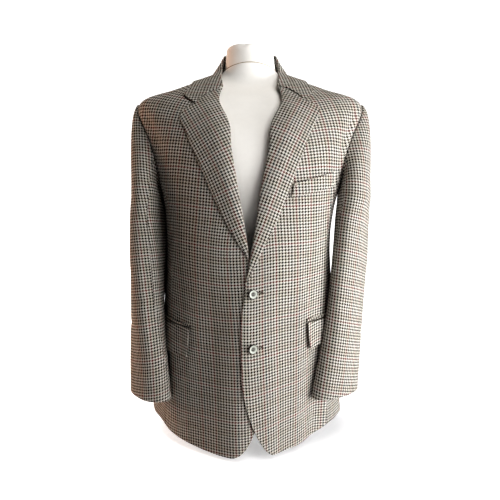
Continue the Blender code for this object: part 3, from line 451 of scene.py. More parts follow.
def along(rows, level):
    """The numbers of a table at each level, on a smooth curve through its rows."""
    rows = np.array(rows, float)
    level = np.clip(np.asarray(level, float), -0.6, len(rows) - 0.4)
    first = np.clip(np.floor(level).astype(int), 0, len(rows) - 2)
    part = (level - first)[..., None]
    ends = np.vstack([2 * rows[0] - rows[1], rows, 2 * rows[-1] - rows[-2]])
    before, start, end, after = (ends[first + step] for step in range(4))
    bend = 2 * before - 5 * start + 4 * end - after
    twist = 3 * (start - end) + after - before
    return start + 0.5 * part * (end - before + part * (bend + part * twist))


def unit(vectors):
    return vectors / np.maximum(np.linalg.norm(vectors, axis=-1, keepdims=True), 1e-12)


def ease(value, start, end):
    """0 before start, 1 past end, smooth between."""
    part = np.clip((value - start) / (end - start), 0, 1)
    return part * part * (3 - 2 * part)


def run_of(points):
    """The length from the first point to each point."""
    steps = np.linalg.norm(np.diff(points, axis=0), axis=1)
    return np.concatenate([[0], np.cumsum(steps)])


def evenly(path, count, to_points=None):
    """count + 1 places spaced evenly by real length on a smooth curve through the path's places."""
    dense = along(path, np.linspace(0, len(path) - 1, 24 * (len(path) - 1) + 1))
    run = run_of(to_points(dense) if to_points else dense)
    wanted = np.linspace(0, run[-1], count + 1)
    return np.stack([np.interp(wanted, run, column) for column in dense.T], axis=-1)


def chain(*paths):
    """Paths that meet end to end, as one."""
    return np.vstack([paths[0]] + [path[1:] for path in paths[1:]])


def patch(bottom, top, start, end):
    """A grid of places between four edges that share their corners."""
    across = np.linspace(0, 1, len(bottom))[None, :, None]
    up = np.linspace(0, 1, len(start))[:, None, None]
    rise = bottom[None] * (1 - up) + top[None] * up
    reach = start[:, None] * (1 - across) + end[:, None] * across
    low = bottom[0] * (1 - across) + bottom[-1] * across
    high = top[0] * (1 - across) + top[-1] * across
    return rise + reach - low * (1 - up) - high * up


def set_in(grid, lengths, points):
    """The grid with each row's first column drawn in by a length, and the others spaced after it."""
    whole = np.linalg.norm(np.diff(points, axis=1), axis=2).sum(axis=1)
    columns = np.linspace(0, 1, grid.shape[1])
    moved = grid.copy()
    for row, start in enumerate(np.clip(lengths / whole, 0, 0.4)):
        wanted = start * (1 - columns) ** 3 + columns
        for field in range(grid.shape[2]):
            moved[row, :, field] = np.interp(wanted, columns, grid[row, :, field])
    return moved


# The surface of the jacket


def ring(table, turn, level):
    """Points of a table's surface."""
    turn, level = np.broadcast_arrays(np.asarray(turn, float), np.asarray(level, float))
    fields = np.moveaxis(along(table, level), -1, 0)
    front_z, side_z, back_z, half_width, front, back, middle, drift, corner, skew, pinch = fields
    lead, across = np.cos(turn), np.sin(turn)
    right_side = (1 - across) / 2 * across**4 * np.abs(lead) * PINCH_PEAK
    swell = 1 + (corner + skew * across) * np.sin(2 * turn) ** 2 + pinch * right_side
    reach = np.where(lead > 0, front, back)
    rim_z = np.where(lead > 0, front_z, back_z)
    x = drift + half_width * across * swell
    return np.stack([x, middle - reach * lead * swell, side_z + (rim_z - side_z) * lead**2], -1)


def body(places):
    return ring(JACKET, places[..., 0], places[..., 1])


def slopes(places, step=1e-4):
    """How fast the surface's points move with turn and with level."""
    shift = np.array([[step, 0], [0, step]])
    return [(body(places + one) - body(places - one)) / (2 * step) for one in shift]


def outward(places):
    """The outward normals of the jacket's surface."""
    by_turn, by_level = slopes(places)
    return unit(np.cross(by_turn, by_level))


def locate(x, z):
    """The places on the front, seen straight on, at these points of X and Z."""
    x, z = np.broadcast_arrays(np.asarray(x, float), np.asarray(z, float))
    heights = [section.front_z for section in JACKET]
    turns, levels = np.arcsin(np.clip(x / 0.25, -0.9, 0.9)), np.interp(z, heights, range(len(heights)))
    places = np.stack([turns, levels], -1)
    for _ in range(40):
        point = body(places)
        by_turn, by_level = slopes(places)
        miss_x, miss_z = x - point[..., 0], z - point[..., 2]
        area = by_turn[..., 0] * by_level[..., 2] - by_level[..., 0] * by_turn[..., 2]
        turn = (miss_x * by_level[..., 2] - miss_z * by_level[..., 0]) / area
        level = (miss_z * by_turn[..., 0] - miss_x * by_turn[..., 2]) / area
        places = places + np.clip(np.stack([turn, level], -1), -0.2, 0.2)
    return places


def marked(side, marks):
    """The places of marks on one side's front."""
    across, height = np.array([mark.across for mark in marks]), np.array([mark.height for mark in marks])
    return locate(SIDES[side] * across, height)


def level_at(side_height):
    """The level whose side is at this height."""
    return np.interp(side_height, [section.side_z for section in JACKET], range(len(JACKET)))


def creased(points, creases):
    """How far the creases move each point out, less than zero in a trough."""
    moved = np.zeros(points.shape[:-1])
    for path, width, depth in creases:
        path = along(path, np.linspace(0, len(path) - 1, 13))
        run = run_of(path)
        nearest = np.full(points.shape[:-1], np.inf)
        place = np.zeros(points.shape[:-1])
        for start, end, before, after in zip(path, path[1:], run, run[1:]):
            part = ((points - start) * (end - start)).sum(-1) / (after - before) ** 2
            part = np.clip(part, 0, 1)
            distance = np.linalg.norm(points - start - part[..., None] * (end - start), axis=-1)
            nearer = distance < nearest
            nearest = np.where(nearer, distance, nearest)
            place = np.where(nearer, (before + part * (after - before)) / run[-1], place)
        fade = ease(place, 0, 0.25) * (1 - ease(place, 0.75, 1))
        moved += depth * np.exp(-((nearest / width) ** 2)) * fade
    return moved * sizes().creases


def body_creases():
    drawn = []
    for path, width, depth in BODY_CREASES:
        places = np.array([(math.radians(turn), level) for turn, level in path])
        dense = along(places, np.linspace(0, len(places) - 1, 7))
        drawn.append(Crease(body(dense), width, depth))
    return drawn


def lifted(places, height):
    """Points at this height over the jacket's surface and its creases."""
    points = body(places)
    height = np.asarray(height) + creased(points, body_creases())
    return points + outward(places) * height[..., None]


def clear_of_body(points, gap, levels=(0, NECK)):
    """The points, those nearer than the gap to the jacket's surface, or inside it, eased out to the gap."""
    grid = np.meshgrid(np.linspace(-math.pi, math.pi, 241), np.linspace(*levels, 161))
    places = np.stack(grid, -1).reshape(-1, 2)
    surface, normals = body(places), outward(places)
    tree = kdtree.KDTree(len(surface))
    for index, point in enumerate(surface):
        tree.insert(point, index)
    tree.balance()
    flat = points.reshape(-1, 3)
    nearest = np.array([tree.find(point)[1] for point in flat])
    short = gap - ((flat - surface[nearest]) * normals[nearest]).sum(axis=1)
    pushed = 0.5 * (short + np.sqrt(short**2 + 0.0012**2))
    moved = flat + normals[nearest] * np.where(short > -0.01, pushed, 0)[:, None]
    return moved.reshape(points.shape)


# Laying cloth flat


def flatten(points, guess, rounds=14, sweeps=70):
    """The grid laid flat with as little stretch as may be, starting from a guess, in metres."""
    corners = [points[:-1, :-1], points[:-1, 1:], points[1:, 1:], points[1:, :-1]]
    across = corners[1] + corners[2] - corners[0] - corners[3]
    up = corners[3] + corners[2] - corners[0] - corners[1]
    first = unit(across)
    second = unit(np.cross(np.cross(across, up), first))
    area = np.linalg.norm(np.cross(across, up), axis=-1) / 4
    flat = guess.astype(float)
    ways = [flat[:-1, 1:] - flat[:-1, :-1], flat[1:, :-1] - flat[:-1, :-1]]
    if (ways[0][..., 0] * ways[1][..., 1] - ways[0][..., 1] * ways[1][..., 0]).sum() < 0:
        second = -second
    middle = sum(corners) / 4
    local = [
        np.stack([((corner - middle) * axis).sum(-1) for axis in (first, second)], -1) for corner in corners
    ]

    def stiffness(one, other):
        gap = ((local[other] - local[one]) ** 2).sum(-1)
        return (area / (gap + 0.05 * area + 1e-12))[..., None]

    low, high, left, right = stiffness(0, 1), stiffness(3, 2), stiffness(0, 3), stiffness(1, 2)
    rows, columns = points.shape[:2]
    level_hold, upright_hold = np.zeros((rows, columns - 1, 1)), np.zeros((rows - 1, columns, 1))
    level_hold[:-1] += low
    level_hold[1:] += high
    upright_hold[:, :-1] += left
    upright_hold[:, 1:] += right

    def spread(level_pull, upright_pull):
        total = np.zeros((rows, columns, 2))
        total[:, 1:] += level_pull
        total[:, :-1] -= level_pull
        total[1:] += upright_pull
        total[:-1] -= upright_pull
        return total

    def pull(flat):
        return spread(level_hold * np.diff(flat, axis=1), upright_hold * np.diff(flat, axis=0))

    for _ in range(rounds):
        laid_corners = [flat[:-1, :-1], flat[:-1, 1:], flat[1:, 1:], flat[1:, :-1]]
        laid_middle = sum(laid_corners) / 4
        agree = sum((q * (w - laid_middle)).sum(-1) for q, w in zip(local, laid_corners))
        cross = sum(
            q[..., 0] * (w - laid_middle)[..., 1] - q[..., 1] * (w - laid_middle)[..., 0]
            for q, w in zip(local, laid_corners)
        )
        size = np.sqrt(agree**2 + cross**2) + 1e-18
        cos, sin = agree / size, cross / size
        turned = [
            np.stack([cos * q[..., 0] - sin * q[..., 1], sin * q[..., 0] + cos * q[..., 1]], -1) for q in local
        ]
        level_wish, upright_wish = np.zeros((rows, columns - 1, 2)), np.zeros((rows - 1, columns, 2))
        level_wish[:-1] += low * (turned[1] - turned[0])
        level_wish[1:] += high * (turned[2] - turned[3])
        upright_wish[:, :-1] += left * (turned[3] - turned[0])
        upright_wish[:, 1:] += right * (turned[2] - turned[1])
        miss = spread(level_wish, upright_wish) - pull(flat)
        step, size = miss.copy(), (miss**2).sum()
        for _ in range(sweeps):
            if size < 1e-16:
                break
            moved = pull(step)
            share_of = size / (step * moved).sum()
            flat = flat + share_of * step
            miss = miss - share_of * moved
            size, last = (miss**2).sum(), size
            step = miss + step * size / last
    return flat


def grained(flat, low, high, at=(0.0, 0.0)):
    """The flat piece turned so that the line between two of its corners runs along the warp, from a point."""
    way = flat[high] - flat[low]
    cos, sin = way[::-1] / np.linalg.norm(way)
    moved = flat - flat[low]
    return np.stack([cos * moved[..., 0] - sin * moved[..., 1], sin * moved[..., 0] + cos * moved[..., 1]], -1) + at


def by_places(places):
    """A first guess of the flat piece from the places of a piece of the body."""
    levels = np.linspace(0, NECK, 91)
    run = run_of(body(np.stack([np.full(91, 0.9), levels], -1)))
    return np.stack([0.2 * places[..., 0], np.interp(places[..., 1], levels, run)], -1)


def by_runs(points, across=1.0, up=1.0):
    """A first guess of the flat piece from the lengths of its rows and columns."""
    steps = [np.linalg.norm(np.diff(points, axis=axis), axis=2) for axis in (0, 1)]
    rise = np.vstack([np.zeros((1, points.shape[1])), np.cumsum(steps[0], axis=0)])
    reach = np.hstack([np.zeros((points.shape[0], 1)), np.cumsum(steps[1], axis=1)])
    return np.stack([across * (reach - reach.mean(axis=1, keepdims=True)), up * rise.mean(1)[:, None] + 0 * reach], -1)


def matched(points, carrier):
    """Where points lie on the flat piece that carries them."""
    under, flat = carrier
    tree = kdtree.KDTree(under.shape[0] * under.shape[1])
    for index, point in enumerate(under.reshape(-1, 3)):
        tree.insert(point, index)
    tree.balance()
    ways = [np.gradient(under, axis=axis).reshape(-1, 3) for axis in (0, 1)]
    moves = [np.gradient(flat, axis=axis).reshape(-1, 2) for axis in (0, 1)]
    found = np.empty((points.reshape(-1, 3).shape[0], 2))
    for index, point in enumerate(points.reshape(-1, 3)):
        near_point, near, _ = tree.find(point)
        one, other = ways[0][near], ways[1][near]
        away = point - np.array(near_point)
        square = np.array([[one @ one, one @ other], [one @ other, other @ other]])
        share_of = np.linalg.solve(square, [away @ one, away @ other])
        found[index] = flat.reshape(-1, 2)[near] + share_of[0] * moves[0][near] + share_of[1] * moves[1][near]
    return found.reshape(points.shape[:-1] + (2,))


# Making the pieces


def add_mesh(name, points, faces, material, weave=None):
    mesh = bpy.data.meshes.new(name)
    mesh.from_pydata((np.asarray(points) + CENTRING).tolist(), [], faces)
    mesh.materials.append(material)
    if weave is not None:
        corners = np.empty(len(mesh.loops), np.int32)
        mesh.loops.foreach_get("vertex_index", corners)
        layer = mesh.uv_layers.new(name="weave")
        layer.uv.foreach_set("vector", np.asarray(weave, np.float32)[corners].ravel())
    mesh.shade_smooth()
    mesh.update()
    made = bpy.data.objects.new(name, mesh)
    bpy.context.scene.collection.objects.link(made)
    return made


def finish_piece(made, slot, *nodes):
    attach(made, "root")
    if nodes:
        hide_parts(*nodes)
    return made


def cloth_piece(name, node, outer, normals, flat, edges=None, woven=None):
    """A closed double layer of tweed between a grid of points and its inner face, with rolled edges.

    Edges are the lengths that the bottom, the end, the top and the start are rolled over. Woven is where the
    check lies, if pressing moved it from the flat piece.
    """
    thickness = sizes().cloth
    if edges is None:
        edges = (sizes().edge,) * 4
    rows, columns = outer.shape[:2]
    count = rows * columns
    index = np.arange(count).reshape(rows, columns)
    rim = np.concatenate([index[0], index[1:, -1], index[-1, -2::-1], index[-2:0:-1, 0]])
    within = np.concatenate([index[1], index[1:, -2], index[-2, -2::-1], index[-2:0:-1, 1]])
    lengths = (columns, rows - 1, columns - 1, rows - 2)
    soft = np.concatenate([np.full(number, edge) for number, edge in zip(lengths, edges)])
    weave = (flat if woven is None else woven).reshape(-1, 2).copy()
    points, out = outer.reshape(-1, 3).copy(), normals.reshape(-1, 3)
    edge_points, edge_out = points[rim], out[rim]
    tangent = np.roll(edge_points, -1, axis=0) - np.roll(edge_points, 1, axis=0)
    away = unit(np.cross(tangent, edge_out))
    inside = edge_points - points[within]
    if (away * inside).sum() < 0:
        away = -away
    space = np.linalg.norm(inside, axis=1)
    soft = np.minimum(soft, 0.45 * space)[:, None]
    slide = unit(weave[rim] - weave[within])
    points[rim] = edge_points - away * soft
    weave[rim] = weave[rim] - slide * soft
    core = points[rim] - edge_out * thickness / 2
    grown, marked_weave = [points, points - out * thickness], [weave, weave]
    loops = [rim]
    for step in range(1, RIM_STEPS + 1):
        angle = math.pi * step / (RIM_STEPS + 1)
        loops.append(2 * count + (step - 1) * len(rim) + np.arange(len(rim)))
        grown.append(core + edge_out * thickness / 2 * math.cos(angle) + away * soft * math.sin(angle))
        marked_weave.append(weave[rim] + slide * thickness / 2 * angle)
    loops.append(rim + count)
    squares = np.stack([index[:-1, :-1], index[:-1, 1:], index[1:, 1:], index[1:, :-1]], -1).reshape(-1, 4)
    faces = [squares, squares[:, ::-1] + count]
    for one, other in zip(loops, loops[1:]):
        faces.append(np.stack([np.roll(one, -1), one, other, np.roll(other, -1)], -1))
    faces = np.vstack(faces)
    middle = (rows // 2, columns // 2)
    across = outer[middle[0], middle[1] + 1] - outer[middle]
    up = outer[middle[0] + 1, middle[1]] - outer[middle]
    if np.dot(np.cross(across, up), normals[middle]) < 0:
        faces = faces[:, ::-1]
    made = add_mesh(name, np.vstack(grown), faces.tolist(), tweed(), np.vstack(marked_weave))
    finish_piece(made, "tweed", node)
    return made


# The flat fronts, which the pockets' checks are matched to
flat_fronts = {}


# The body of the jacket


def seam_turn(seam, level, armhole_level):
    """The turn of a long seam at each level."""
    levels = (0, 3, armhole_level)
    return np.radians(np.interp(level, levels, (seam.hem, seam.waist, seam.armhole)))


def armhole(angle):
    """Places round the left armhole. The angle is 0 at the shoulder, positive towards the back."""
    angle = np.radians(angle)
    middle, half = (ARMHOLE_TOP + ARMHOLE_BOTTOM) / 2, (ARMHOLE_TOP - ARMHOLE_BOTTOM) / 2
    sweep = np.abs(np.sin(angle)) ** 1.2
    front = -ARMHOLE_FRONT * sweep * (1 - ARMHOLE_SKEW * np.cos(angle))
    back = ARMHOLE_BACK * sweep * (1 + 0.4 * ARMHOLE_SKEW * np.cos(angle))
    turn = 90 + np.where(angle < 0, front, back)
    return np.stack([np.radians(turn), level_at(middle + half * np.cos(angle))], -1)


def armhole_angle(turn, low, high):
    """Where between two angles the armhole crosses this turn, in its lower half."""
    for _ in range(50):
        middle = (low + high) / 2
        if (armhole(middle)[0] < math.radians(turn)) == (armhole(low)[0] < math.radians(turn)):
            low = middle
        else:
            high = middle
    return middle


FRONT_NOTCH = armhole_angle(FRONT_SEAM.armhole, -170, -115)
BACK_NOTCH = armhole_angle(BACK_SEAM.armhole, 170, 115)


def mirrored(places, side):
    return places * np.array([SIDES[side], 1])


def long_seam(seam, notch, drop=0.0):
    """The left side's seam from the hem to the armhole, moved sideways by a share of the seam gap."""
    top = armhole(notch)
    levels = np.linspace(0, top[1], 9)
    path = np.stack([seam_turn(seam, levels, top[1]), levels], -1)
    return beside(evenly(path, SEAM_ROWS, body), drop)


def beside(places, gap):
    """Places moved by this length in the direction of turn."""
    by_turn, _ = slopes(places)
    moved = places.copy()
    moved[..., 0] += gap / np.linalg.norm(by_turn, axis=-1)
    return moved


def armhole_part(start, end, count):
    return evenly(armhole(np.linspace(start, end, 25)), count, body)


def cutaway(side):
    """Marks of the rounded corner, from the straight front edge down to the hem."""
    inner = SIDES[side] * CENTRE_LINE - OVERLAP
    marks = []
    for angle in np.linspace(0, math.pi / 2, 13):
        down = math.sin(angle) ** (2 / CUT_POWER[side])
        across = 1 - math.cos(angle) ** (2 / CUT_POWER[side])
        marks.append(Mark(HEM_FRONT + CUT_HEIGHT * (1 - down), inner + CUT_WIDTH * across))
    return marks


def roll_places(side):
    """The roll line, in the rows that the front and the lapel share."""
    return evenly(marked(side, LAPELS[side].roll), ROLL_ROWS, body)


def front_edge(side):
    """The front's edge from the middle of the rounded corner to the shoulder at the neck."""
    inner = SIDES[side] * CENTRE_LINE - OVERLAP
    corner = marked(side, cutaway(side))
    low = evenly(corner[len(corner) // 2 :: -1], CORNER_ROWS, body)
    roll = roll_places(side)
    straight = marked(side, [Mark(0.24, inner), Mark(0.30, inner)])
    edge = evenly(np.vstack([corner[:1], straight, roll[:1]]), EDGE_ROWS, body)
    neck_point = np.array([[SIDES[side] * math.pi / 2, NECK]])
    return chain(low, edge, roll, evenly(np.vstack([roll[-1:], neck_point]), NECK_ROWS, body))


def lap(places):
    """How far the over front stands off, to pass over the under front."""
    point = body(places)
    near = 1 - ease(point[..., 0], 0.040, 0.090)
    return LAP_LIFT * near * (1 - ease(point[..., 2], 0.42, 0.54))


def fold_radius():
    """The outside of a fold of two layers that lie on each other."""
    return sizes().cloth + LIE / 2


def add_front(side):
    edge = front_edge(side)
    seam = mirrored(long_seam(FRONT_SEAM, FRONT_NOTCH, -SEAM / 2), side)
    scye = mirrored(armhole_part(FRONT_NOTCH, 0, ARMHOLE_ROWS), side)
    scye[0] = seam[-1]
    corner = marked(side, cutaway(side))
    low = evenly(corner[len(corner) // 2 :], CORNER_COLUMNS, body)
    low[-1, 1] = 0
    straight = evenly(np.vstack([low[-1:], seam[:1]]), FRONT_COLUMNS - CORNER_COLUMNS, body)
    shoulder = evenly(np.vstack([edge[-1:], scye[-1:]]), FRONT_COLUMNS, body)
    places = patch(chain(low, straight), shoulder, edge, chain(seam, scye))
    places = beside_shoulder(places, side, -1)
    start = CORNER_ROWS + EDGE_ROWS
    run = run_of(body(edge)) - run_of(body(edge))[start]
    top = run[start + ROLL_ROWS]
    back_from = 1.14 * fold_radius() * ease(run, 0, 0.02) * (1 - ease(run, top, run[-1]))
    places = set_in(places, back_from, body(places))
    height = lap(places) if side == "left" else np.zeros(places.shape[:-1])
    outer = lifted(places, height)
    flat = flatten(outer, by_places(places), rounds=24)
    flat = grained(flat, (CORNER_ROWS + 2, 0), (start - 2, 0), (0.0, 0.2))
    woven = flat + pressed(side, places)
    flat_fronts[side] = (outer, woven)
    soft = sizes()
    cloth_piece(
        "tweed_front_" + side, "front_" + side, outer, outward(places), flat,
        (soft.edge, soft.seam, soft.seam, soft.edge), woven,
    )


def pressed(side, places):
    """How far pressing moves the check at each place."""
    if side not in PRESSED:
        return 0.0
    by_turn = np.interp(np.degrees(places[..., 0]) * SIDES[side], PRESS_TURNS, range(len(PRESS_TURNS)))
    by_level = np.interp(places[..., 1], PRESS_LEVELS, range(len(PRESS_LEVELS)))
    table = np.array(PRESSED[side], float) / 1000
    moves = along(table.reshape(len(PRESS_LEVELS), -1), by_level)
    moves = moves.reshape(moves.shape[:-1] + (len(PRESS_TURNS), 2))
    first = np.clip(np.floor(by_turn).astype(int), 0, len(PRESS_TURNS) - 2)
    part = (by_turn - first)[..., None]
    before, start, end, after = (
        np.take_along_axis(moves, np.clip(first + step, 0, len(PRESS_TURNS) - 1)[..., None, None], -2)[..., 0, :]
        for step in (-1, 0, 1, 2)
    )
    bend = 2 * before - 5 * start + 4 * end - after
    twist = 3 * (start - end) + after - before
    return start + 0.5 * part * (end - before + part * (bend + part * twist))


def beside_shoulder(places, side, way):
    """The places, those on the shoulder seam moved by half a seam's gap."""
    near = np.abs(np.abs(places[-1, :, 0]) - math.pi / 2) < 1e-6
    moved = beside(places[-1], SIDES[side] * way * SEAM / 2)
    places[-1][near] = moved[near]
    return places


def under_arm(count):
    """Places on the armhole from the front seam, under the arm, to the back seam."""
    angles = np.concatenate([np.linspace(FRONT_NOTCH, -180, 9), np.linspace(180, BACK_NOTCH, 9)[1:]])
    return evenly(armhole(angles), count, body)


def add_side(side):
    start = long_seam(FRONT_SEAM, FRONT_NOTCH, SEAM / 2)
    end = long_seam(BACK_SEAM, BACK_NOTCH, -SEAM / 2)
    scye = under_arm(SIDE_COLUMNS)
    scye[0], scye[-1] = start[-1], end[-1]
    hem = evenly(np.vstack([start[:1], end[:1]]), SIDE_COLUMNS, body)
    places = mirrored(patch(hem, scye, start, end), side)
    outer = lifted(places, 0.0)
    flat = flatten(outer, by_places(places))
    flat = grained(flat, (4, SIDE_COLUMNS // 2), (SEAM_ROWS - 4, SIDE_COLUMNS // 2), (0.5, 0.02))
    soft = sizes()
    cloth_piece(
        "tweed_side_" + side, "side_" + side, outer, outward(places), flat,
        (soft.edge, soft.seam, soft.seam, soft.seam),
    )


def flare(places):
    """How far the back stands off at the vents."""
    point = body(places)
    low = 1 - ease(point[..., 2], 0.05, VENT_HEIGHT)
    near = 1 - ease(np.abs(places[..., 0]), math.radians(BACK_SEAM.hem), math.radians(BACK_SEAM.hem + 30))
    return VENT_FLARE * low * near


def add_back(side):
    start = long_seam(BACK_SEAM, BACK_NOTCH, SEAM / 2)
    scye = armhole_part(BACK_NOTCH, 0, ARMHOLE_ROWS)
    scye[0] = start[-1]
    spine = np.array([[math.pi, level] for level in range(NECK + 1)], float)
    centre = beside(evenly(spine, SEAM_ROWS + ARMHOLE_ROWS, body), -SEAM / 2)
    hem = evenly(np.vstack([start[:1], centre[:1]]), BACK_COLUMNS, body)
    shoulder = np.array([[math.pi / 2, level] for level in range(SHOULDER, NECK + 1)])
    neckline = np.array([[turn, NECK] for turn in np.linspace(math.pi / 2, centre[-1, 0], 5)])
    top = chain(
        evenly(shoulder, BACK_COLUMNS - NECK_COLUMNS, body), evenly(neckline, NECK_COLUMNS, body)
    )
    top[0] = scye[-1]
    places = mirrored(patch(hem, top, chain(start, scye), centre), side)
    places = beside_shoulder(places, side, 1)
    outer = lifted(places, flare(places))
    flat = flatten(outer, by_places(places), rounds=24)
    flat = grained(flat, (4, BACK_COLUMNS), (SEAM_ROWS, BACK_COLUMNS), (-0.0005 * SIDES[side], 0.03))
    soft = sizes()
    cloth_piece(
        "tweed_back_" + side, "back_" + side, outer, outward(places), flat,
        (soft.edge, soft.seam, soft.seam, soft.seam),
    )


# Sleeves


def sleeve_ring(section, angles, side):
    """A sleeve's section. The angle runs from the outer side by the front to the inner side and the back."""
    z, across, y, long, broad, turn, power = section
    forward, outer = np.sin(angles), np.cos(angles)
    forward = long * np.sign(forward) * np.abs(forward) ** (2 / power)
    outer = broad * np.sign(outer) * np.abs(outer) ** (2 / power)
    turn = math.radians(turn)
    x = across + outer * math.cos(turn) - forward * math.sin(turn)
    back_and_forth = y - forward * math.cos(turn) - outer * math.sin(turn)
    return np.stack([SIDES[side] * x, back_and_forth, np.full_like(x, z)], -1)


def sleeve_start():
    """Places on the armhole where the sleeve's columns start, from the shoulder by the front."""
    front_part = armhole_part(FRONT_NOTCH, 0, SCYE_COLUMNS)[::-1]
    back_part = armhole_part(BACK_NOTCH, 0, SCYE_COLUMNS)
    return chain(front_part, under_arm(UNDERARM_COLUMNS), back_part)[:-1]


def sleeve_points(side):
    """The outside of a sleeve, row by row from the armhole to the cuff."""
    places = mirrored(sleeve_start(), side)
    sideways, normal = np.array([SIDES[side], 0, 0]), outward(places)
    seam = body(places) + (sideways + normal) * SEAM * 0.85
    sections = SLEEVES[side]
    angles = section_angles(seam)
    start = sleeve_ring(sections[0], angles, side)
    high = np.clip((seam[:, 2] - ARMHOLE_BOTTOM) / (ARMHOLE_TOP - ARMHOLE_BOTTOM), 0, 1)[:, None]
    leave = unit(sideways + 0.7 * normal) * (0.012 + (CAP_REACH[side] - 0.012) * high)
    arrive = np.array([0, 0, -1]) * (0.02 + CAP_DROP * high)
    rows = []
    for part in np.arange(CAP_ROWS) / CAP_ROWS:
        from_seam = seam * (1 + 2 * part) + leave * part
        to_ring = start * (3 - 2 * part) - arrive * (1 - part)
        rows.append(from_seam * (1 - part) ** 2 + to_ring * part**2)
    for values in along(sections, np.linspace(0, len(sections) - 1, ARM_ROWS + 1)):
        rows.append(sleeve_ring(values, angles, side))
    points = np.array(rows)
    points[1:] = clear_of_body(points[1:], SLEEVE_CLEAR)
    drawn = creased(points * np.array([SIDES[side], 1, 1]), SLEEVE_CREASES[side])
    drawn = drawn * ease(np.arange(len(points)), 0, 4)[:, None]
    points += closed_normals(points) * drawn[..., None]
    points[2:] = clear_of_body(points[2:], SLEEVE_CLEAR)
    return points


def section_angles(seam):
    """The angle round the sleeve's sections for each column, spread evenly by the armhole's length."""
    run = run_of(np.vstack([seam, seam[:1]]))
    return run[:-1] / run[-1] * 2 * math.pi


def closed_normals(points):
    """Outward normals of a tube of rings, each running the same way round."""
    around = np.roll(points, -1, axis=1) - np.roll(points, 1, axis=1)
    down = np.gradient(points, axis=0)
    normals = unit(np.cross(around, down))
    middle = points.mean(axis=1, keepdims=True)
    if ((points - middle) * normals).sum() < 0:
        normals = -normals
    return normals


def add_sleeve(side):
    points = sleeve_points(side)
    normals = closed_normals(points)
    count = points.shape[1]
    angles = np.degrees(section_angles(points[0]))
    first = int(np.argmin(np.abs(angles - UNDER_SLEEVE[0])))
    last = int(np.argmin(np.abs(angles - UNDER_SLEEVE[1])))
    parts = {"under": list(range(first, last + 1)), "top": list(range(last, count)) + list(range(first + 1))}
    soft = sizes()
    for name, columns in parts.items():
        outer, out = points[::-1, columns].copy(), normals[::-1, columns]
        outer[:, 0] += unit(outer[:, 1] - outer[:, 0]) * SLEEVE_GAP / 4
        outer[:, -1] += unit(outer[:, -2] - outer[:, -1]) * SLEEVE_GAP / 4
        flat = flatten(outer, by_runs(outer, -SIDES[side]), rounds=24)
        middle = len(columns) // 2
        flat = grained(flat, (6, middle), (ARM_ROWS, middle), (0.3, 0.01))
        lean, bow = SLEEVE_GRAIN[side]
        rise = flat[..., 1] - flat[..., 1].mean()
        woven = flat + np.stack([lean * rise + bow * rise**2, 0 * rise], -1)
        cloth_piece(
            f"tweed_sleeve_{name}_{side}", f"sleeve_{name}_{side}", outer, out, flat,
            (soft.edge, soft.seam, soft.seam, soft.seam), woven,
        )


# Lapels and collar


def gorge_end(side, outer_place):
    """Places along the gorge seam, and on to the tip of the lapel or of the collar."""
    gorge = evenly(marked(side, LAPELS[side].gorge), GORGE_COLUMNS, body)
    return chain(gorge, evenly(np.vstack([gorge[-1:], outer_place]), LAPEL_COLUMNS - GORGE_COLUMNS, body))


def rolled_over(line, normals, into, share_of):
    """Columns that carry the cloth on round a fold: their points and normals, from the far end."""
    back_off = np.linspace(1, 0, WRAP_COLUMNS, endpoint=False)[None, :, None]
    angle = math.pi * share_of[:, None, None] * back_off
    out = normals[:, None] * np.cos(angle) - into[:, None] * np.sin(angle)
    return (line - normals * fold_radius())[:, None] + out * fold_radius(), out


def add_lapel(side):
    shape = LAPELS[side]
    roll = roll_places(side)
    edge = evenly(marked(side, shape.edge), ROLL_ROWS, body)
    edge[0] = marked(side, [Mark(shape.edge[0].height + 0.004, shape.edge[0].across + 0.005)])[0]
    foot = evenly(np.vstack([roll[:1], edge[:1]]), LAPEL_COLUMNS, body)
    top = gorge_end(side, edge[-1:])
    top[0] = roll[-1]
    places = patch(foot, top, roll, edge)
    run = run_of(body(roll))
    places = set_in(places, fold_radius() * ease(run, 0.004, 0.03), body(places))
    width = np.linalg.norm(body(places[:, -1]) - body(places[:, 0]), axis=1)[:, None]
    across = np.linspace(0, 1, LAPEL_COLUMNS + 1)
    fade = 1 - ease(np.linspace(0, 1, ROLL_ROWS + 1), 0.7, 1)[:, None]
    spring = ROLL_SPRING * np.clip(width / 0.06, 0, 1) * np.sin(math.pi * across**0.75) * fade
    over = lap(places) if side == "left" else 0.0
    outer, out = lifted(places, over + LIE + sizes().cloth + spring), outward(places)
    into = unit(outer[:, 1] - outer[:, 0])
    wrap, wrap_out = rolled_over(outer[:, 0], out[:, 0], into, ease(run, 0.006, 0.045))
    outer, out = np.concatenate([wrap, outer], axis=1), np.concatenate([wrap_out, out], axis=1)
    guess = by_runs(outer, SIDES[side])
    flat = flatten(outer, guess, rounds=24)
    flat = grained(flat, (ROLL_ROWS // 4, -1), (int(ROLL_ROWS * 0.8), -1), (0.7, 0.0))
    cloth_piece(
        "tweed_lapel_" + side, "lapel_" + side, outer, out, flat
    )


def collar_edge(side):
    """Places of the collar's outer edge from the tip over the shoulder to the centre back."""
    over = np.array([[math.radians(crossing.turn), crossing.level] for crossing in COLLAR_EDGE])
    return np.vstack([marked(side, LAPELS[side].collar), mirrored(over, side)])


def fold_points(side):
    return np.array([[SIDES[side] * point.across, point.y, point.z] for point in FOLD])


def collar_end(side):
    """Places of the collar's end, along the gorge and on to the collar's tip."""
    return gorge_end(side, marked(side, LAPELS[side].collar[:1]))


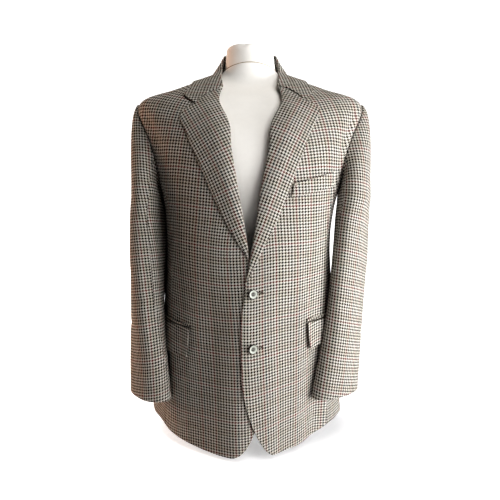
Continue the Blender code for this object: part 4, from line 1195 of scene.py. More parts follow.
def collar_half(side):
    """The outside of half the collar's fall, from the gorge to the centre back."""
    height = COLLAR_LIE + sizes().cloth
    end = lifted(collar_end(side), height)
    down_the_roll = lifted(roll_places(side)[-1 - ROLL_ROWS // 6][None], height)
    end = end + unit(end - down_the_roll) * GORGE_GAP
    edge = lifted(evenly(collar_edge(side), COLLAR_ROWS, body), height)
    fold = evenly(np.vstack([end[:1], fold_points(side)]), COLLAR_ROWS)
    back_end = np.linspace(fold[-1], edge[-1], LAPEL_COLUMNS + 1)
    points = patch(end, back_end, fold, edge)
    across = np.linspace(0, 1, LAPEL_COLUMNS + 1)[None, :, None]
    up = np.linspace(0, 1, COLLAR_ROWS + 1)[:, None, None]
    away = unit(points - NECK_AXIS)
    points = points - away * COLLAR_DIP * np.sin(math.pi * across) * ease(up, 0.1, 0.4)
    return clear_of_body(points, height, levels=(6, NECK))


def grid_normals(points):
    """Normals of an open grid, on the side away from the neck's axis."""
    normals = unit(np.cross(np.gradient(points, axis=1), np.gradient(points, axis=0)))
    away = points - NECK_AXIS
    return normals * np.sign((normals * away).sum(axis=-1, keepdims=True).mean())


def collar_fall():
    """The collar's fall with its fold rolled over: points and normals."""
    fall = np.concatenate([collar_half("right"), collar_half("left")[-2::-1]])
    normals = grid_normals(fall)
    normals[0], normals[-1] = outward(collar_end("right")), outward(collar_end("left"))
    into = unit(fall[:, 1] - fall[:, 0])
    first = unit(normals[:, 0] - into * (normals[:, 0] * into).sum(-1, keepdims=True))
    wrap, wrap_out = rolled_over(fall[:, 0], first, into, np.full(len(fall), 0.8))
    return np.concatenate([wrap, fall], axis=1), np.concatenate([wrap_out, normals], axis=1)


def add_collar():
    outer, out = collar_fall()
    flat = flatten(outer, by_runs(outer[::-1].transpose(1, 0, 2)[::-1], 1.0).transpose(1, 0, 2)[::-1, ::-1], rounds=40)
    flat = grained(flat, (COLLAR_ROWS, -1), (COLLAR_ROWS, WRAP_COLUMNS), (0.9, 0.0))
    cloth_piece(
        "tweed_collar_fall", "collar_fall", outer, out, flat,
    )


def add_stand():
    """The upright strip inside the fold, from the neckline's seam."""
    halves = []
    turns = np.linspace(math.radians(STAND_START), math.pi, 7)
    neckline = evenly(np.stack([turns, np.full(7, STAND_LEVEL)], -1), COLLAR_ROWS, body)
    for side in SIDES:
        fold = evenly(fold_points(side)[1:], COLLAR_ROWS)
        inward = unit((NECK_AXIS - fold) * np.array([1, 1, 0]))
        high = fold + inward * 0.0036 - UPWARD * 0.0048
        low = body(mirrored(neckline, side)) + inward * STAND_IN + UPWARD * STAND_UP
        part = np.linspace(0, 1, STAND_COLUMNS + 1)[None, :, None]
        halves.append(low[:, None] * (1 - part) + high[:, None] * part)
    outer = np.concatenate([halves[1], halves[0][-2::-1]])
    flat = flatten(outer, by_runs(outer.transpose(1, 0, 2), -1.0).transpose(1, 0, 2))
    flat = grained(flat, (COLLAR_ROWS, 0), (COLLAR_ROWS, STAND_COLUMNS), (0.9, 0.3))
    cloth_piece(
        "tweed_collar_stand", "collar_stand", outer, grid_normals(outer), flat,
    )


# Pockets


def run_level(start, long, count):
    """Places running round the body at one height from a start, this long in all."""
    turns = np.linspace(0, 1.4, 60) * np.sign(start[0])
    path = np.stack([start[0] + turns, np.full(60, start[1])], -1)
    run = run_of(body(path))
    return np.stack([np.interp(np.linspace(0, long, count + 1), run, column) for column in path.T], -1)


def pocket_piece(name, side, places, height):
    outer = lifted(places, height)
    flat, woven = flatten(outer, by_runs(outer)), matched(outer, flat_fronts[side])
    cloth_piece(
        "tweed_" + name, name, outer, outward(places), flat, woven=woven
    )


def add_flap(side):
    top_mark, deep, long = FLAPS[side]
    low_mark = Mark(top_mark.height - deep, top_mark.across + FLAP_SLANT)
    top, low = (run_level(marked(side, [mark])[0], long, FLAP_COLUMNS) for mark in (top_mark, low_mark))
    ends = [np.linspace(low[at], top[at], FLAP_ROWS + 1) for at in (0, -1)]
    over = lap(top[None]) if side == "left" else 0.0
    up = np.linspace(0, 1, FLAP_ROWS + 1)[:, None]
    cloth = sizes().cloth
    free = FLAP_SWING * (1 - up) + FLAP_CURL * (1 - np.linspace(0, 1, FLAP_COLUMNS + 1)) ** 6
    pocket_piece("flap_" + side, side, patch(low, top, *ends), over + FLAP_LIE + cloth + free)
    jet_low = top + np.array([0, JET_GAP / LEVEL_RISE])
    jet_high = jet_low + np.array([0, JET / LEVEL_RISE])
    ends = [np.linspace(jet_low[at], jet_high[at], JET_ROWS + 1) for at in (0, -1)]
    pocket_piece("jet_" + side, side, patch(jet_low, jet_high, *ends), over + FLAP_LIE + cloth)


def add_welt():
    low, high = (evenly(marked("left", marks), WELT_COLUMNS, body) for marks in (WELT_LOW, WELT_HIGH))
    ends = [np.linspace(low[at], high[at], WELT_ROWS + 1) for at in (0, -1)]
    pocket_piece("breast_welt", "left", patch(low, high, *ends), WELT_LIE + sizes().cloth)


def jet_line(side):
    """Where the flap comes out from under its jet, and how high the cloth lies there."""
    line = run_level(marked(side, [FLAPS[side].top])[0], FLAPS[side].long, FLAP_COLUMNS)
    over = lap(line) if side == "left" else 0.0
    return line + np.array([0, JET_GAP / 2 / LEVEL_RISE]), over + FLAP_LIE


# Modelling from primitives


def fresh(name, primitive, **settings):
    """A new primitive with nothing else selected."""
    bpy.ops.object.select_all(action="DESELECT")
    primitive(**settings)
    made = bpy.context.object
    made.name = made.data.name = name
    return made


def pick(made, test):
    """Selects, in edit mode, the faces whose middle and normal pass a test."""
    bpy.ops.mesh.select_all(action="DESELECT")
    mesh = bmesh.from_edit_mesh(made.data)
    for face in mesh.faces:
        if test(face.calc_center_median(), face.normal):
            face.select_set(True)
    mesh.select_flush_mode()
    bmesh.update_edit_mesh(made.data)


def join(pieces, name):
    bpy.ops.object.select_all(action="DESELECT")
    for piece in pieces:
        piece.select_set(True)
    bpy.context.view_layer.objects.active = pieces[0]
    bpy.ops.object.join()
    bpy.ops.object.transform_apply(location=True, rotation=True, scale=True)
    pieces[0].name = pieces[0].data.name = name
    return pieces[0]


def apply_modifier(made, kind, **settings):
    bpy.ops.object.select_all(action="DESELECT")
    made.select_set(True)
    bpy.context.view_layer.objects.active = made
    modifier = made.modifiers.new(kind.title(), kind)
    for name, value in settings.items():
        setattr(modifier, name, value)
    bpy.ops.object.modifier_apply(modifier=modifier.name)


def model_button():
    """A turned horn button, flat on the floor and facing up, with four holes."""
    radius, thick = sizes().button / 2, sizes().button_thickness
    made = fresh("horn_button", bpy.ops.mesh.primitive_cylinder_add, vertices=64, radius=radius, depth=thick)
    bpy.ops.object.mode_set(mode="EDIT")
    pick(made, lambda at, normal: normal.z > 0.9)
    for inset, rise in BUTTON_STEPS:
        bpy.ops.mesh.inset(thickness=inset, depth=0)
        bpy.ops.transform.translate(value=(0, 0, rise))
    pick(made, lambda at, normal: normal.z < -0.9)
    bpy.ops.mesh.inset(thickness=radius * 0.35, depth=0)
    bpy.ops.transform.translate(value=(0, 0, -0.0002))
    bpy.ops.object.mode_set(mode="OBJECT")
    apply_modifier(made, "BEVEL", width=0.0005, segments=3, limit_method="ANGLE", angle_limit=math.radians(35))
    for x in (-0.0016, 0.0016):
        for y in (-0.0016, 0.0016):
            drill = fresh(
                "drill", bpy.ops.mesh.primitive_cylinder_add,
                vertices=16, radius=0.00075, depth=0.02, location=(x, y, 0),
            )
            apply_modifier(made, "BOOLEAN", operation="DIFFERENCE", object=drill)
            bpy.data.objects.remove(drill, do_unlink=True)
    for name in HORNS:
        made.data.materials.append(horn(name))
    dish = radius - sum(inset for inset, rise in BUTTON_STEPS[:-1])
    # The pale ring keeps the horn's own colour; the dish is painted grey and the edge, the step walls and the holes
    # dark, as painted shade
    for face in made.data.polygons:
        out, facing = face.center.to_2d().length, face.normal.z > 0.5
        tone = "Pale horn" if out > dish else "Grey horn"
        if out > radius - BUTTON_STEPS[0][0] or not facing and out < dish - 0.0006:
            tone = "Dark horn"
        face.material_index = list(HORNS).index(tone)
    bpy.ops.object.select_all(action="DESELECT")
    made.select_set(True)
    bpy.context.view_layer.objects.active = made
    bpy.ops.object.shade_smooth_by_angle(angle=math.radians(40))
    return made


def model_button_thread():
    """The thread that holds a button: two loops through its holes, and the shank under it."""
    thread, parts = sizes().thread, []
    for y in (-0.0016, 0.0016):
        for beside_it in (-0.6, 0.6):
            loop = fresh(
                "loop", bpy.ops.mesh.primitive_torus_add,
                location=(0, y + beside_it * thread * 0.8, -0.0002), rotation=(math.pi / 2, 0, 0),
                major_radius=0.0016, minor_radius=thread * 0.5, major_segments=20, minor_segments=8,
            )
            loop.scale = (1, 1, 1)
            parts.append(loop)
    parts.append(
        fresh(
            "shank", bpy.ops.mesh.primitive_cylinder_add,
            vertices=20, radius=0.0020, depth=0.0046, location=(0, 0, -0.0036),
        )
    )
    made = join(parts, "thread_loops")
    bpy.ops.object.shade_smooth_by_angle(angle=math.radians(50))
    return made


def upright_on(place, height):
    """The matrix that stands a piece modelled facing up on the jacket's surface at a place."""
    point, normal = lifted(place, height) + CENTRING, outward(place)
    z = Vector(normal)
    x = Vector((0, 0, 1)).cross(z).normalized()
    y = z.cross(x)
    basis = Matrix((x, y, z)).transposed().to_4x4()
    return Matrix.Translation(Vector(point)) @ basis


def copy_onto(model, name, matrix, slot, *nodes):
    made = bpy.data.objects.new(name, model.data.copy())
    bpy.context.scene.collection.objects.link(made)
    made.data.name = name
    made.data.transform(matrix)
    return finish_piece(made, slot, *nodes)


def add_buttons():
    button, loops = model_button(), model_button_thread()
    loops.data.materials.append(stitching())
    for number, (name, height) in enumerate(BUTTON_HEIGHTS.items()):
        place = locate(CENTRE_LINE, height)
        seat = lap(place) + SHANK_HEIGHT + sizes().button_thickness / 2
        matrix = upright_on(place, seat) @ Matrix.Rotation(BUTTON_TURN, 4, "Y")
        matrix = matrix @ Matrix.Rotation(math.radians((12, -20)[number]), 4, "Z")
        copy_onto(button, "horn_button_" + name, matrix, "horn", "button_" + name)
        copy_onto(loops, "button_thread_" + name, matrix, "tweed")
    for model in (button, loops):
        bpy.data.objects.remove(model, do_unlink=True)


def ribbed_ring(name, long, wide, thick, ribs):
    """A ring of close stitches, drawn out to a slot, flat on the floor."""
    made = fresh(
        name, bpy.ops.mesh.primitive_torus_add,
        major_radius=wide / 2, minor_radius=thick / 2, major_segments=ribs * 2, minor_segments=8,
    )
    bpy.ops.object.mode_set(mode="EDIT")
    mesh = bmesh.from_edit_mesh(made.data)
    for vertex in mesh.verts:
        vertex.select_set(vertex.co.x > 0)
    mesh.select_flush_mode()
    bmesh.update_edit_mesh(made.data)
    bpy.ops.transform.translate(value=(long - wide, 0, 0))
    bpy.ops.mesh.select_all(action="SELECT")
    bpy.ops.object.mode_set(mode="OBJECT")
    return made


def laid_on_front(made, place, height, heading):
    """Bends a piece that lies flat on the floor onto the front: its X runs along the heading."""
    along_x, along_z = math.cos(heading), math.sin(heading)
    start = body(place)
    flat = np.array([vertex.co for vertex in made.data.vertices])
    x = start[0] + flat[:, 0] * along_x - flat[:, 1] * along_z
    z = start[2] + flat[:, 0] * along_z + flat[:, 1] * along_x
    places = locate(x, z)
    over = lap(places)
    points = lifted(places, over + height + flat[:, 2]) + CENTRING
    made.data.vertices.foreach_set("co", points.ravel())
    made.data.update()


def add_buttonholes():
    for name, height in BUTTON_HEIGHTS.items():
        place = locate(CENTRE_LINE - 0.0015, height + 0.0003)
        hole = ribbed_ring("buttonhole_" + name, 0.0215, 0.0026, 0.0013, 16)
        laid_on_front(hole, place, 0.0003, math.radians(4))
        hole.data.materials.append(stitching())
        hole.data.shade_smooth()
        finish_piece(hole, "tweed")
        eyelet = ribbed_ring("buttonhole_end_" + name, 0.0034, 0.0034, 0.0013, 14)
        laid_on_front(eyelet, locate(CENTRE_LINE + 0.0185, height + 0.0016), 0.0004, 0.0)
        eyelet.data.materials.append(stitching())
        eyelet.data.shade_smooth()
        finish_piece(eyelet, "tweed")


def add_jet_shadow_stitches():
    """A row of dark stitches under each jet, where the flap comes out: a dark line put in the slit as painted shadow.
    """
    stitch = fresh(
        "stitch", bpy.ops.mesh.primitive_cylinder_add,
        vertices=8, radius=sizes().thread, depth=JET_SHADOW_STITCH, rotation=(0, math.pi / 2, 0),
    )
    apply_modifier(stitch, "BEVEL", width=sizes().thread / 3, segments=2, limit_method="ANGLE")
    bpy.ops.object.transform_apply(location=True, rotation=True, scale=True)
    for side in SIDES:
        line, over = jet_line(side)
        points = lifted(line, over + sizes().thread) + CENTRING
        run = run_of(points)
        rows = []
        for at in np.arange(JET_SHADOW_STITCH, run[-1], JET_SHADOW_STITCH * 1.12):
            middle, ahead = (np.array([np.interp(x, run, points[:, k]) for k in range(3)]) for x in (at, at + 1e-3))
            normal = Vector(outward(line[np.searchsorted(run, at) - 1]))
            x = Vector(ahead - middle).normalized()
            y = normal.cross(x).normalized()
            stand = Matrix((x, y, x.cross(y))).transposed().to_4x4()
            copy = stitch.copy()
            copy.data = stitch.data.copy()
            copy.data.transform(Matrix.Translation(Vector(middle)) @ stand)
            bpy.context.scene.collection.objects.link(copy)
            rows.append(copy)
        made = join(rows, "jet_stitches_" + side)
        # Dark brown thread along the slit under the jet: painted shadow
        made.data.materials.append(stitching())
        made.data.shade_smooth()
        finish_piece(made, "tweed")
    bpy.data.objects.remove(stitch, do_unlink=True)


def add_tacks():
    """Bar tacks at the ends of the breast pocket's welt."""
    spots = {"inner": (0.0845, 0.5520, 80), "inner_top": (0.0905, 0.5745, 20), "outer": (0.1740, 0.5760, 85)}
    for name, (x, z, heading) in spots.items():
        bars = []
        for number in range(3):
            bar = fresh(
                "bar", bpy.ops.mesh.primitive_cylinder_add,
                vertices=10, radius=sizes().thread / 2, depth=0.0045 - 0.0008 * number,
                location=(0, (number - 1) * sizes().thread * 1.1, 0), rotation=(0, math.pi / 2, 0),
            )
            apply_modifier(bar, "BEVEL", width=sizes().thread / 5, segments=2, limit_method="ANGLE")
            bars.append(bar)
        tack = join(bars, "welt_tack_" + name)
        laid_on_front(tack, locate(x, z), WELT_LIE + sizes().cloth + 0.0001, math.radians(heading))
        tack.data.materials.append(tack_thread())
        tack.data.shade_smooth()
        finish_piece(tack, "tweed")


# The dress form


def add_form_solid(name, node, table, rings, shape=None):
    """A closed padded solid through a table's sections, flat at both ends."""
    turns = np.linspace(-math.pi, math.pi, FORM_TURNS + 1)[:-1]
    levels = np.linspace(0, len(table) - 1, rings)
    points = ring(table, turns[None, :], levels[:, None])
    if shape:
        points = shape(points)
    index = np.arange(rings * FORM_TURNS).reshape(rings, FORM_TURNS)
    after = np.roll(index, -1, axis=1)
    faces = np.stack([index[:-1], after[:-1], after[1:], index[1:]], -1).reshape(-1, 4).tolist()
    faces += [index[0, ::-1].tolist(), index[-1].tolist()]
    made = add_mesh(name, points.reshape(-1, 3), faces, cotton())
    apply_modifier(
        made, "BEVEL", width=FORM_ROUNDING, segments=4, limit_method="ANGLE", angle_limit=math.radians(35)
    )
    bpy.ops.object.shade_smooth()
    finish_piece(made, "form_cloth", node)


def cap_shape(points):
    """The soft cap of the neck, lower on the wearer's left, with a small fold at its front."""
    lean = ease(points[..., 0], -0.030, 0.055) * ease(points[..., 2], 0.855, 0.886)
    points = points - UPWARD * (CAP_LEAN * lean)[..., None]
    out = unit((points - NECK_AXIS) * np.array([1, 1, 0]))
    return points + out * creased(points, CAP_CREASE)[..., None]


def add_form_seam():
    """The corded seam where the cover of the neck meets the cover of the body."""
    cord = fresh(
        "form_seam", bpy.ops.mesh.primitive_torus_add,
        major_radius=1, minor_radius=FORM_CORD, major_segments=FORM_TURNS, minor_segments=8,
    )
    flat = np.array([vertex.co for vertex in cord.data.vertices])
    turns = np.arctan2(flat[:, 0], -flat[:, 1])
    path = ring(CAP, turns, np.full(len(turns), FORM_SEAM_LEVEL))
    out = unit(flat * np.array([1, 1, 0]))
    wide = np.hypot(flat[:, 0], flat[:, 1]) - 1
    points = path + out * wide[:, None] + UPWARD * flat[:, 2:] + CENTRING
    cord.data.vertices.foreach_set("co", points.ravel())
    cord.data.update()
    cord.data.materials.append(thread("Seam of the form", colours().form_seam))
    cord.data.shade_smooth()
    finish_piece(cord, "form_cloth")


# Finishes


def node(tree, kind, inputs=None, **settings):
    made = tree.nodes.new(kind)
    for name, value in settings.items():
        setattr(made, name, value)
    for slot, value in (inputs or {}).items():
        if isinstance(value, bpy.types.NodeSocket):
            tree.links.new(value, made.inputs[slot])
        else:
            made.inputs[slot].default_value = value
    return made


def reckon(tree, operation, *values):
    return node(tree, "ShaderNodeMath", dict(enumerate(values)), operation=operation).outputs[0]


def blend(tree, factor, one, other):
    made = node(tree, "ShaderNodeMix", {0: factor, 6: one, 7: other}, data_type="RGBA")
    return made.outputs[2]


def opaque(rgb):
    return (*rgb, 1.0)


def yarn_ramp(tree, place, names):
    """The colour at a place from 0 to 1 in an order of yarns."""
    made = node(tree, "ShaderNodeValToRGB", {0: place})
    made.color_ramp.interpolation = "CONSTANT"
    elements = made.color_ramp.elements
    while len(elements) < len(names):
        elements.new(0.5)
    for number, (element, name) in enumerate(zip(elements, names)):
        element.position = number / len(names)
    for element, name in zip(elements, names):
        element.color = opaque(getattr(colours(), name))
    return made.outputs[0]


def group_of(name, inputs, outputs):
    """A new shader node group with its sockets, its tree and its two ends."""
    tree = bpy.data.node_groups.new(name, "ShaderNodeTree")
    for label, kind, value in inputs:
        socket = tree.interface.new_socket(label, in_out="INPUT", socket_type=kind)
        if value is not None:
            socket.default_value = value
    for label, kind in outputs:
        tree.interface.new_socket(label, in_out="OUTPUT", socket_type=kind)
    return tree, tree.nodes.new("NodeGroupInput"), tree.nodes.new("NodeGroupOutput")


def fibre_group():
    """Loose hairs of a spun yarn: a value about 0.5 that varies along and across the yarn."""
    if "Spun fibre" in bpy.data.node_groups:
        return bpy.data.node_groups["Spun fibre"]
    tree, ends, out = group_of(
        "Spun fibre",
        [("Vector", "NodeSocketVector", None), ("Fineness", "NodeSocketFloat", 2000.0),
         ("Unevenness", "NodeSocketFloat", 0.5)],
        [("Value", "NodeSocketFloat")],
    )
    fine = node(
        tree, "ShaderNodeTexNoise",
        {"Vector": ends.outputs["Vector"], "Scale": ends.outputs["Fineness"], "Detail": 3.0, "Roughness": 0.6},
    )
    slow_scale = reckon(tree, "MULTIPLY", ends.outputs["Fineness"], 0.12)
    slow = node(tree, "ShaderNodeTexNoise", {"Vector": ends.outputs["Vector"], "Scale": slow_scale, "Detail": 2.0})
    mixed = reckon(tree, "ADD", reckon(tree, "MULTIPLY", fine.outputs[0], 0.6), reckon(tree, "MULTIPLY", slow.outputs[0], 0.4))
    centred = reckon(tree, "MULTIPLY", reckon(tree, "SUBTRACT", mixed, 0.5), ends.outputs["Unevenness"])
    tree.links.new(reckon(tree, "ADD", centred, 0.5), out.inputs["Value"])
    return tree


def shade_group():
    """Makes a colour paler or deeper by a value about 0.5."""
    if "Shade by value" in bpy.data.node_groups:
        return bpy.data.node_groups["Shade by value"]
    tree, ends, out = group_of(
        "Shade by value",
        [("Color", "NodeSocketColor", None), ("Value", "NodeSocketFloat", 0.5), ("Reach", "NodeSocketFloat", 1.0)],
        [("Color", "NodeSocketColor")],
    )
    gain = reckon(tree, "MULTIPLY", reckon(tree, "SUBTRACT", ends.outputs["Value"], 0.5), ends.outputs["Reach"])
    gain = reckon(tree, "ADD", gain, 1.0)
    scaled = node(tree, "ShaderNodeVectorMath", {0: ends.outputs["Color"], 1: (1, 1, 1)}, operation="MULTIPLY")
    made = node(tree, "ShaderNodeVectorMath", {0: scaled.outputs[0], "Scale": gain}, operation="SCALE")
    tree.links.new(made.outputs[0], out.inputs["Color"])
    return tree


def grouped(tree, group, inputs):
    made = tree.nodes.new("ShaderNodeGroup")
    made.node_tree = group
    for slot, value in inputs.items():
        if isinstance(value, bpy.types.NodeSocket):
            tree.links.new(value, made.inputs[slot])
        else:
            made.inputs[slot].default_value = value
    return made.outputs[0]


def finish(name, roughness, specular, sheen=0.0):
    """A new material with its shader's plain values set, its tree and its shader."""
    made = bpy.data.materials.new(name)
    made.use_nodes = True
    shader = made.node_tree.nodes["Principled BSDF"]
    shader.inputs["Roughness"].default_value = roughness
    shader.inputs["Specular IOR Level"].default_value = specular
    shader.inputs["Sheen Weight"].default_value = sheen
    shader.inputs["Sheen Roughness"].default_value = 0.5
    return made, made.node_tree, shader


def bump(tree, shader, height, distance, strength):
    made = node(tree, "ShaderNodeBump", {"Height": height, "Distance": distance, "Strength": strength})
    tree.links.new(made.outputs[0], shader.inputs["Normal"])


def tweed():
    """Four dark yarns and four pale, both ways, in a two-and-two twill."""
    if "Checked tweed" in bpy.data.materials:
        return bpy.data.materials["Checked tweed"]
    made, tree, shader = finish("Checked tweed", 0.95, 0.15, 0.05)
    weave = node(tree, "ShaderNodeUVMap", uv_map="weave").outputs[0]
    wobble = grouped(tree, fibre_group(), {"Vector": weave, "Fineness": 420.0, "Unevenness": 1.0})
    spot = node(tree, "ShaderNodeSeparateXYZ", {0: weave})
    shade = colours()
    counts, parts, indexes = [], [], []
    for axis, check in ((0, sizes().column), (1, sizes().row)):
        yarns = reckon(tree, "MULTIPLY", spot.outputs[axis], 8 / check)
        yarns = reckon(tree, "ADD", yarns, reckon(tree, "MULTIPLY", wobble, 0.5))
        counts.append(reckon(tree, "FLOOR", yarns))
        parts.append(reckon(tree, "FRACT", yarns))
        place = reckon(tree, "FLOOR", reckon(tree, "DIVIDE", yarns, 8.0))
        indexes.append(reckon(tree, "FRACT", reckon(tree, "DIVIDE", reckon(tree, "ADD", place, 0.5), 12.0)))
    yarn_colours = []
    for count, place, names in zip(counts, indexes, (WARP, WEFT)):
        dark = reckon(tree, "LESS_THAN", reckon(tree, "FLOORED_MODULO", count, 8.0), 4.0)
        pale = yarn_ramp(tree, place, ["cream", "cream", "ecru", "cream", "cream", "ecru"])
        yarn_colours.append(blend(tree, dark, pale, yarn_ramp(tree, place, names)))
    twill = reckon(tree, "FLOORED_MODULO", reckon(tree, "ADD", *counts), 4.0)
    over = reckon(tree, "LESS_THAN", twill, 2.0)
    woven = blend(tree, over, yarn_colours[1], yarn_colours[0])
    hairs = grouped(tree, fibre_group(), {"Vector": weave, "Fineness": 2600.0, "Unevenness": 1.0})
    hazed = blend(tree, reckon(tree, "MULTIPLY", hairs, 0.04), woven, opaque([0.30, 0.25, 0.19]))
    toned = grouped(tree, shade_group(), {"Color": hazed, "Value": hairs, "Reach": 0.7})
    tree.links.new(toned, shader.inputs["Base Color"])
    rounds = [
        reckon(tree, "SINE", reckon(tree, "MULTIPLY", parts[axis], math.pi)) for axis in (0, 1)
    ]
    height = reckon(
        tree, "ADD",
        reckon(tree, "MULTIPLY", over, rounds[0]),
        reckon(tree, "MULTIPLY", reckon(tree, "SUBTRACT", 1.0, over), rounds[1]),
    )
    height = reckon(tree, "ADD", height, reckon(tree, "MULTIPLY", hairs, 1.2))
    bump(tree, shader, height, 0.00025, 0.6)
    return made


def cotton():
    """Plain cotton stretched over the form."""
    if "Cream cotton" in bpy.data.materials:
        return bpy.data.materials["Cream cotton"]
    made, tree, shader = finish("Cream cotton", 0.88, 0.25, 0.05)
    place = node(tree, "ShaderNodeTexCoord").outputs["Object"]
    hairs = grouped(tree, fibre_group(), {"Vector": place, "Fineness": 900.0, "Unevenness": 1.0})
    slow = grouped(tree, fibre_group(), {"Vector": place, "Fineness": 30.0, "Unevenness": 1.0})
    toned = grouped(tree, shade_group(), {"Color": opaque(colours().cotton), "Value": slow, "Reach": 0.10})
    toned = grouped(tree, shade_group(), {"Color": toned, "Value": hairs, "Reach": 0.10})
    tree.links.new(toned, shader.inputs["Base Color"])
    spot = node(tree, "ShaderNodeSeparateXYZ", {0: place})
    waves = [
        reckon(tree, "SINE", reckon(tree, "MULTIPLY", spot.outputs[axis], 2 * math.pi / 0.0007))
        for axis in (0, 2)
    ]
    threads = reckon(tree, "ADD", reckon(tree, "MULTIPLY", *waves), hairs)
    bump(tree, shader, threads, 0.00008, 0.35)
    return made


def horn(name):
    """Streaky horn, dull with wear."""
    if name in bpy.data.materials:
        return bpy.data.materials[name]
    made, tree, shader = finish(name, 0.38, 0.5)
    place = node(tree, "ShaderNodeTexCoord").outputs["Object"]
    drawn = node(tree, "ShaderNodeMapping", {0: place, "Scale": (1.0, 1.0, 3.5)}).outputs[0]
    streaks = grouped(tree, fibre_group(), {"Vector": drawn, "Fineness": 900.0, "Unevenness": 1.8})
    rgb = opaque(getattr(colours(), HORNS[name]))
    toned = grouped(tree, shade_group(), {"Color": rgb, "Value": streaks, "Reach": 0.5})
    tree.links.new(toned, shader.inputs["Base Color"])
    worn = grouped(tree, fibre_group(), {"Vector": place, "Fineness": 4000.0, "Unevenness": 0.5})
    tree.links.new(worn, shader.inputs["Roughness"])
    bump(tree, shader, worn, 0.00005, 0.4)
    return made


def thread(name, rgb):
    if name in bpy.data.materials:
        return bpy.data.materials[name]
    made, tree, shader = finish(name, 0.7, 0.3, 0.1)
    place = node(tree, "ShaderNodeTexCoord").outputs["Object"]
    twist = grouped(tree, fibre_group(), {"Vector": place, "Fineness": 3500.0, "Unevenness": 1.4})
    toned = grouped(tree, shade_group(), {"Color": opaque(rgb), "Value": twist, "Reach": 1.0})
    tree.links.new(toned, shader.inputs["Base Color"])
    bump(tree, shader, twist, 0.0001, 0.6)
    return made


def stitching():
    return thread("Brown thread", colours().stitching)


def tack_thread():
    return thread("Cream thread", colours().tack)


# The studio

# Each light: where it stands, its size, its power and its colour
Light = namedtuple("Light", "place size power rgb")
LIGHTS = {
    "window": Light((2.58, -0.32, 0.55), 1.2, 17.0, (1.0, 1.0, 1.0)),
    "low_window": Light((1.22, -0.65, 0.12), 0.8, 16.5, (1.0, 1.0, 1.0)),
    "high_window": Light((0.83, -1.10, 2.65), 1.2, 18.0, (1.0, 0.99, 0.97)),
    "front_window": Light((1.61, -1.79, 1.30), 1.2, 18.0, (1.0, 0.99, 0.98)),
    "side_fill": Light((-2.44, 0.89, 0.65), 1.2, 37.0, (1.0, 0.66, 0.48)),
    "ceiling": Light((0.0, -0.1, 3.05), 1.2, 7.0, (1.0, 0.88, 0.76)),
    "back_window": Light((-1.30, 2.30, 1.60), 1.2, 30.0, (0.94, 0.98, 1.0)),
}
MIDDLE = Vector((0.0, 0.0, 0.45))
ROOM = (0.004, 0.004, 0.004)


def add_stage():
    stage = bpy.context.scene.jacket_stage
    camera_data = bpy.data.cameras.new("Camera")
    camera_data.lens, camera_data.sensor_width, camera_data.clip_start = stage.lens, 36.0, 0.05
    camera = bpy.data.objects.new("Camera", camera_data)
    camera.location = (0.0, -stage.distance, stage.height)
    camera.rotation_euler = (math.pi / 2 - stage.pitch, 0, 0)
    bpy.context.scene.collection.objects.link(camera)
    bpy.context.scene.camera = camera
    for name, (place, size, power, rgb) in LIGHTS.items():
        lamp = bpy.data.lights.new(name, "AREA")
        lamp.shape, lamp.size, lamp.energy, lamp.color = "DISK", size, power, rgb
        held = bpy.data.objects.new(name, lamp)
        held.location = place
        held.rotation_euler = (MIDDLE - Vector(place)).to_track_quat("-Z", "Y").to_euler()
        bpy.context.scene.collection.objects.link(held)
    floor = fresh("floor", bpy.ops.mesh.primitive_plane_add, size=16, location=(0, 0, -0.0006))
    bpy.ops.object.transform_apply(location=True, rotation=True, scale=True)
    floor.data.materials.append(floor_finish())
    world = bpy.data.worlds.new("Studio")
    world.use_nodes = True
    tree = world.node_tree
    back = tree.nodes["Background"]
    seen = tree.nodes.new("ShaderNodeLightPath").outputs["Is Camera Ray"]
    tree.links.new(blend(tree, seen, opaque(ROOM), (1.0, 1.0, 1.0, 1.0)), back.inputs["Color"])
    back.inputs["Strength"].default_value = 1.0
    bpy.context.scene.world = world
    bpy.context.scene.view_settings.view_transform = "Standard"
    bpy.context.scene.view_settings.look = "High Contrast"


def floor_finish():
    """A pale floor lit from within for camera rays only, weaker towards a point beside the jacket's foot: the dim
    patch there is a painted shadow.
    """
    made, tree, shader = finish("Studio floor", 0.9, 0.1)
    place = node(tree, "ShaderNodeTexCoord").outputs["Object"]
    grain = grouped(tree, fibre_group(), {"Vector": place, "Fineness": 60.0, "Unevenness": 0.4})
    toned = grouped(
        tree, shade_group(),
        {"Color": opaque(bpy.context.scene.jacket_stage.floor), "Value": grain, "Reach": 0.05},
    )
    tree.links.new(toned, shader.inputs["Base Color"])
    shader.inputs["Emission Color"].default_value = (1.0, 1.0, 1.0, 1.0)
    # The painted shadow's middle, beside the jacket's foot: the floor's emission is weakest here and grows with
    # distance from it
    painted_shadow_inputs = {0: place, 1: (0.14, -0.03, 0.0)}
    away = node(tree, "ShaderNodeVectorMath", painted_shadow_inputs, operation="DISTANCE").outputs["Value"]
    glow_with_painted_shadow = node(
        tree, "ShaderNodeMapRange",
        {"Value": away, "From Min": 0.0, "From Max": 0.9, "To Min": 0.26, "To Max": 1.1},
        interpolation_type="SMOOTHSTEP",
    )
    seen = node(tree, "ShaderNodeLightPath").outputs["Is Camera Ray"]
    tree.links.new(reckon(tree, "MULTIPLY", glow_with_painted_shadow.outputs[0], seen), shader.inputs["Emission Strength"])
    return made


# The operators


class JACKET_OT_form(bpy.types.Operator):
    """Build the dress form's torso and its soft neck cap"""

    bl_idname = "jacket.form"
    bl_label = "Dress form"

    def execute(self, context):
        add_form_solid("form_torso_cover", "form_torso", TORSO, TORSO_RINGS)
        add_form_solid("form_neck_cover", "form_neck", CAP, CAP_RINGS, cap_shape)
        add_form_seam()
        return {"FINISHED"}


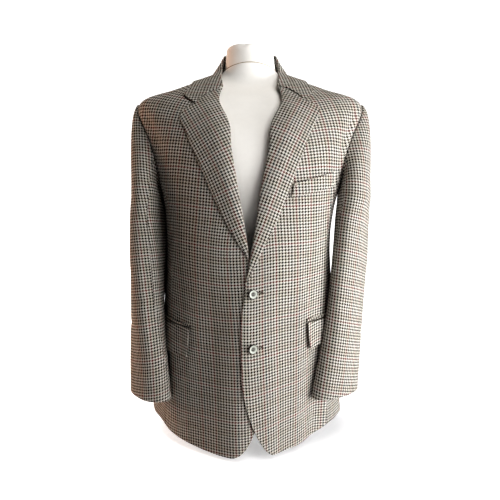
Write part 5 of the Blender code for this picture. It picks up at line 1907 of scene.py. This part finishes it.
class JACKET_OT_fronts(bpy.types.Operator):
    """Lay the two fronts with their rounded corners"""

    bl_idname = "jacket.fronts"
    bl_label = "Fronts"

    def execute(self, context):
        for side in SIDES:
            add_front(side)
        return {"FINISHED"}


class JACKET_OT_sides(bpy.types.Operator):
    """Lay the panels under the arms"""

    bl_idname = "jacket.sides"
    bl_label = "Side panels"

    def execute(self, context):
        for side in SIDES:
            add_side(side)
        return {"FINISHED"}


class JACKET_OT_backs(bpy.types.Operator):
    """Lay the two backs, which stand off at the vents"""

    bl_idname = "jacket.backs"
    bl_label = "Backs"

    def execute(self, context):
        for side in SIDES:
            add_back(side)
        return {"FINISHED"}


class JACKET_OT_sleeves(bpy.types.Operator):
    """Hang the sleeves, each of a top and an under piece"""

    bl_idname = "jacket.sleeves"
    bl_label = "Sleeves"

    def execute(self, context):
        for side in SIDES:
            add_sleeve(side)
        return {"FINISHED"}


class JACKET_OT_lapels(bpy.types.Operator):
    """Turn the lapels over at the roll"""

    bl_idname = "jacket.lapels"
    bl_label = "Lapels"

    def execute(self, context):
        for side in SIDES:
            add_lapel(side)
        return {"FINISHED"}


class JACKET_OT_collar(bpy.types.Operator):
    """Stand the collar and fold its fall over"""

    bl_idname = "jacket.collar"
    bl_label = "Collar"

    def execute(self, context):
        add_stand()
        add_collar()
        return {"FINISHED"}


class JACKET_OT_pockets(bpy.types.Operator):
    """Lay the flaps, their jets and the breast welt, with their checks matched to the fronts"""

    bl_idname = "jacket.pockets"
    bl_label = "Pockets"

    def execute(self, context):
        if not flat_fronts:
            raise RuntimeError("the fronts come before the pockets")
        for side in SIDES:
            add_flap(side)
        add_welt()
        return {"FINISHED"}


class JACKET_OT_buttons(bpy.types.Operator):
    """Turn a horn button and sew on a copy at each place"""

    bl_idname = "jacket.buttons"
    bl_label = "Buttons"

    def execute(self, context):
        add_buttons()
        return {"FINISHED"}


class JACKET_OT_stitching(bpy.types.Operator):
    """Work the buttonholes, the bar tacks and the dark stitches of painted shadow under the jets"""

    bl_idname = "jacket.stitching"
    bl_label = "Stitching"

    def execute(self, context):
        add_buttonholes()
        add_tacks()
        add_jet_shadow_stitches()
        return {"FINISHED"}


class JACKET_OT_stage(bpy.types.Operator):
    """Set up the floor, the lights and the camera"""

    bl_idname = "jacket.stage"
    bl_label = "Stage"

    def execute(self, context):
        add_stage()
        return {"FINISHED"}


OPERATORS = (
    JACKET_OT_form,
    JACKET_OT_fronts,
    JACKET_OT_sides,
    JACKET_OT_backs,
    JACKET_OT_sleeves,
    JACKET_OT_lapels,
    JACKET_OT_collar,
    JACKET_OT_pockets,
    JACKET_OT_buttons,
    JACKET_OT_stitching,
    JACKET_OT_stage,
)


class JACKET_PT_panel(bpy.types.Panel):
    """Lists the jacket's sizes, colours and pieces in the sidebar"""

    bl_idname = "JACKET_PT_panel"
    bl_label = "Tweed Jacket"
    bl_space_type = "VIEW_3D"
    bl_region_type = "UI"
    bl_category = "Jacket"

    def draw(self, context):
        layout = self.layout
        for title, group in GROUPS.values():
            column = layout.column(align=True)
            column.label(text=title)
            held = getattr(context.scene, group)
            for name in held.bl_rna.properties.keys():
                if name not in ("rna_type", "name"):
                    column.prop(held, name)
        column = layout.column(align=True)
        for operator in OPERATORS:
            column.operator(operator.bl_idname)


GROUPS = {
    JacketSizes: ("Sizes", "jacket_sizes"),
    JacketColours: ("Colours", "jacket_colours"),
    JacketStage: ("Stage", "jacket_stage"),
}
CLASSES = (*GROUPS, *OPERATORS, JACKET_PT_panel)


def register():
    for kind in CLASSES:
        bpy.utils.register_class(kind)
    for kind, (_, group) in GROUPS.items():
        setattr(bpy.types.Scene, group, bpy.props.PointerProperty(type=kind))


def unregister():
    for _, group in GROUPS.values():
        delattr(bpy.types.Scene, group)
    for kind in reversed(CLASSES):
        bpy.utils.unregister_class(kind)


def main():
    register()
    for operator in OPERATORS:
        family, name = operator.bl_idname.split(".")
        getattr(getattr(bpy.ops, family), name)()


if __name__ == "__main__":
    main()
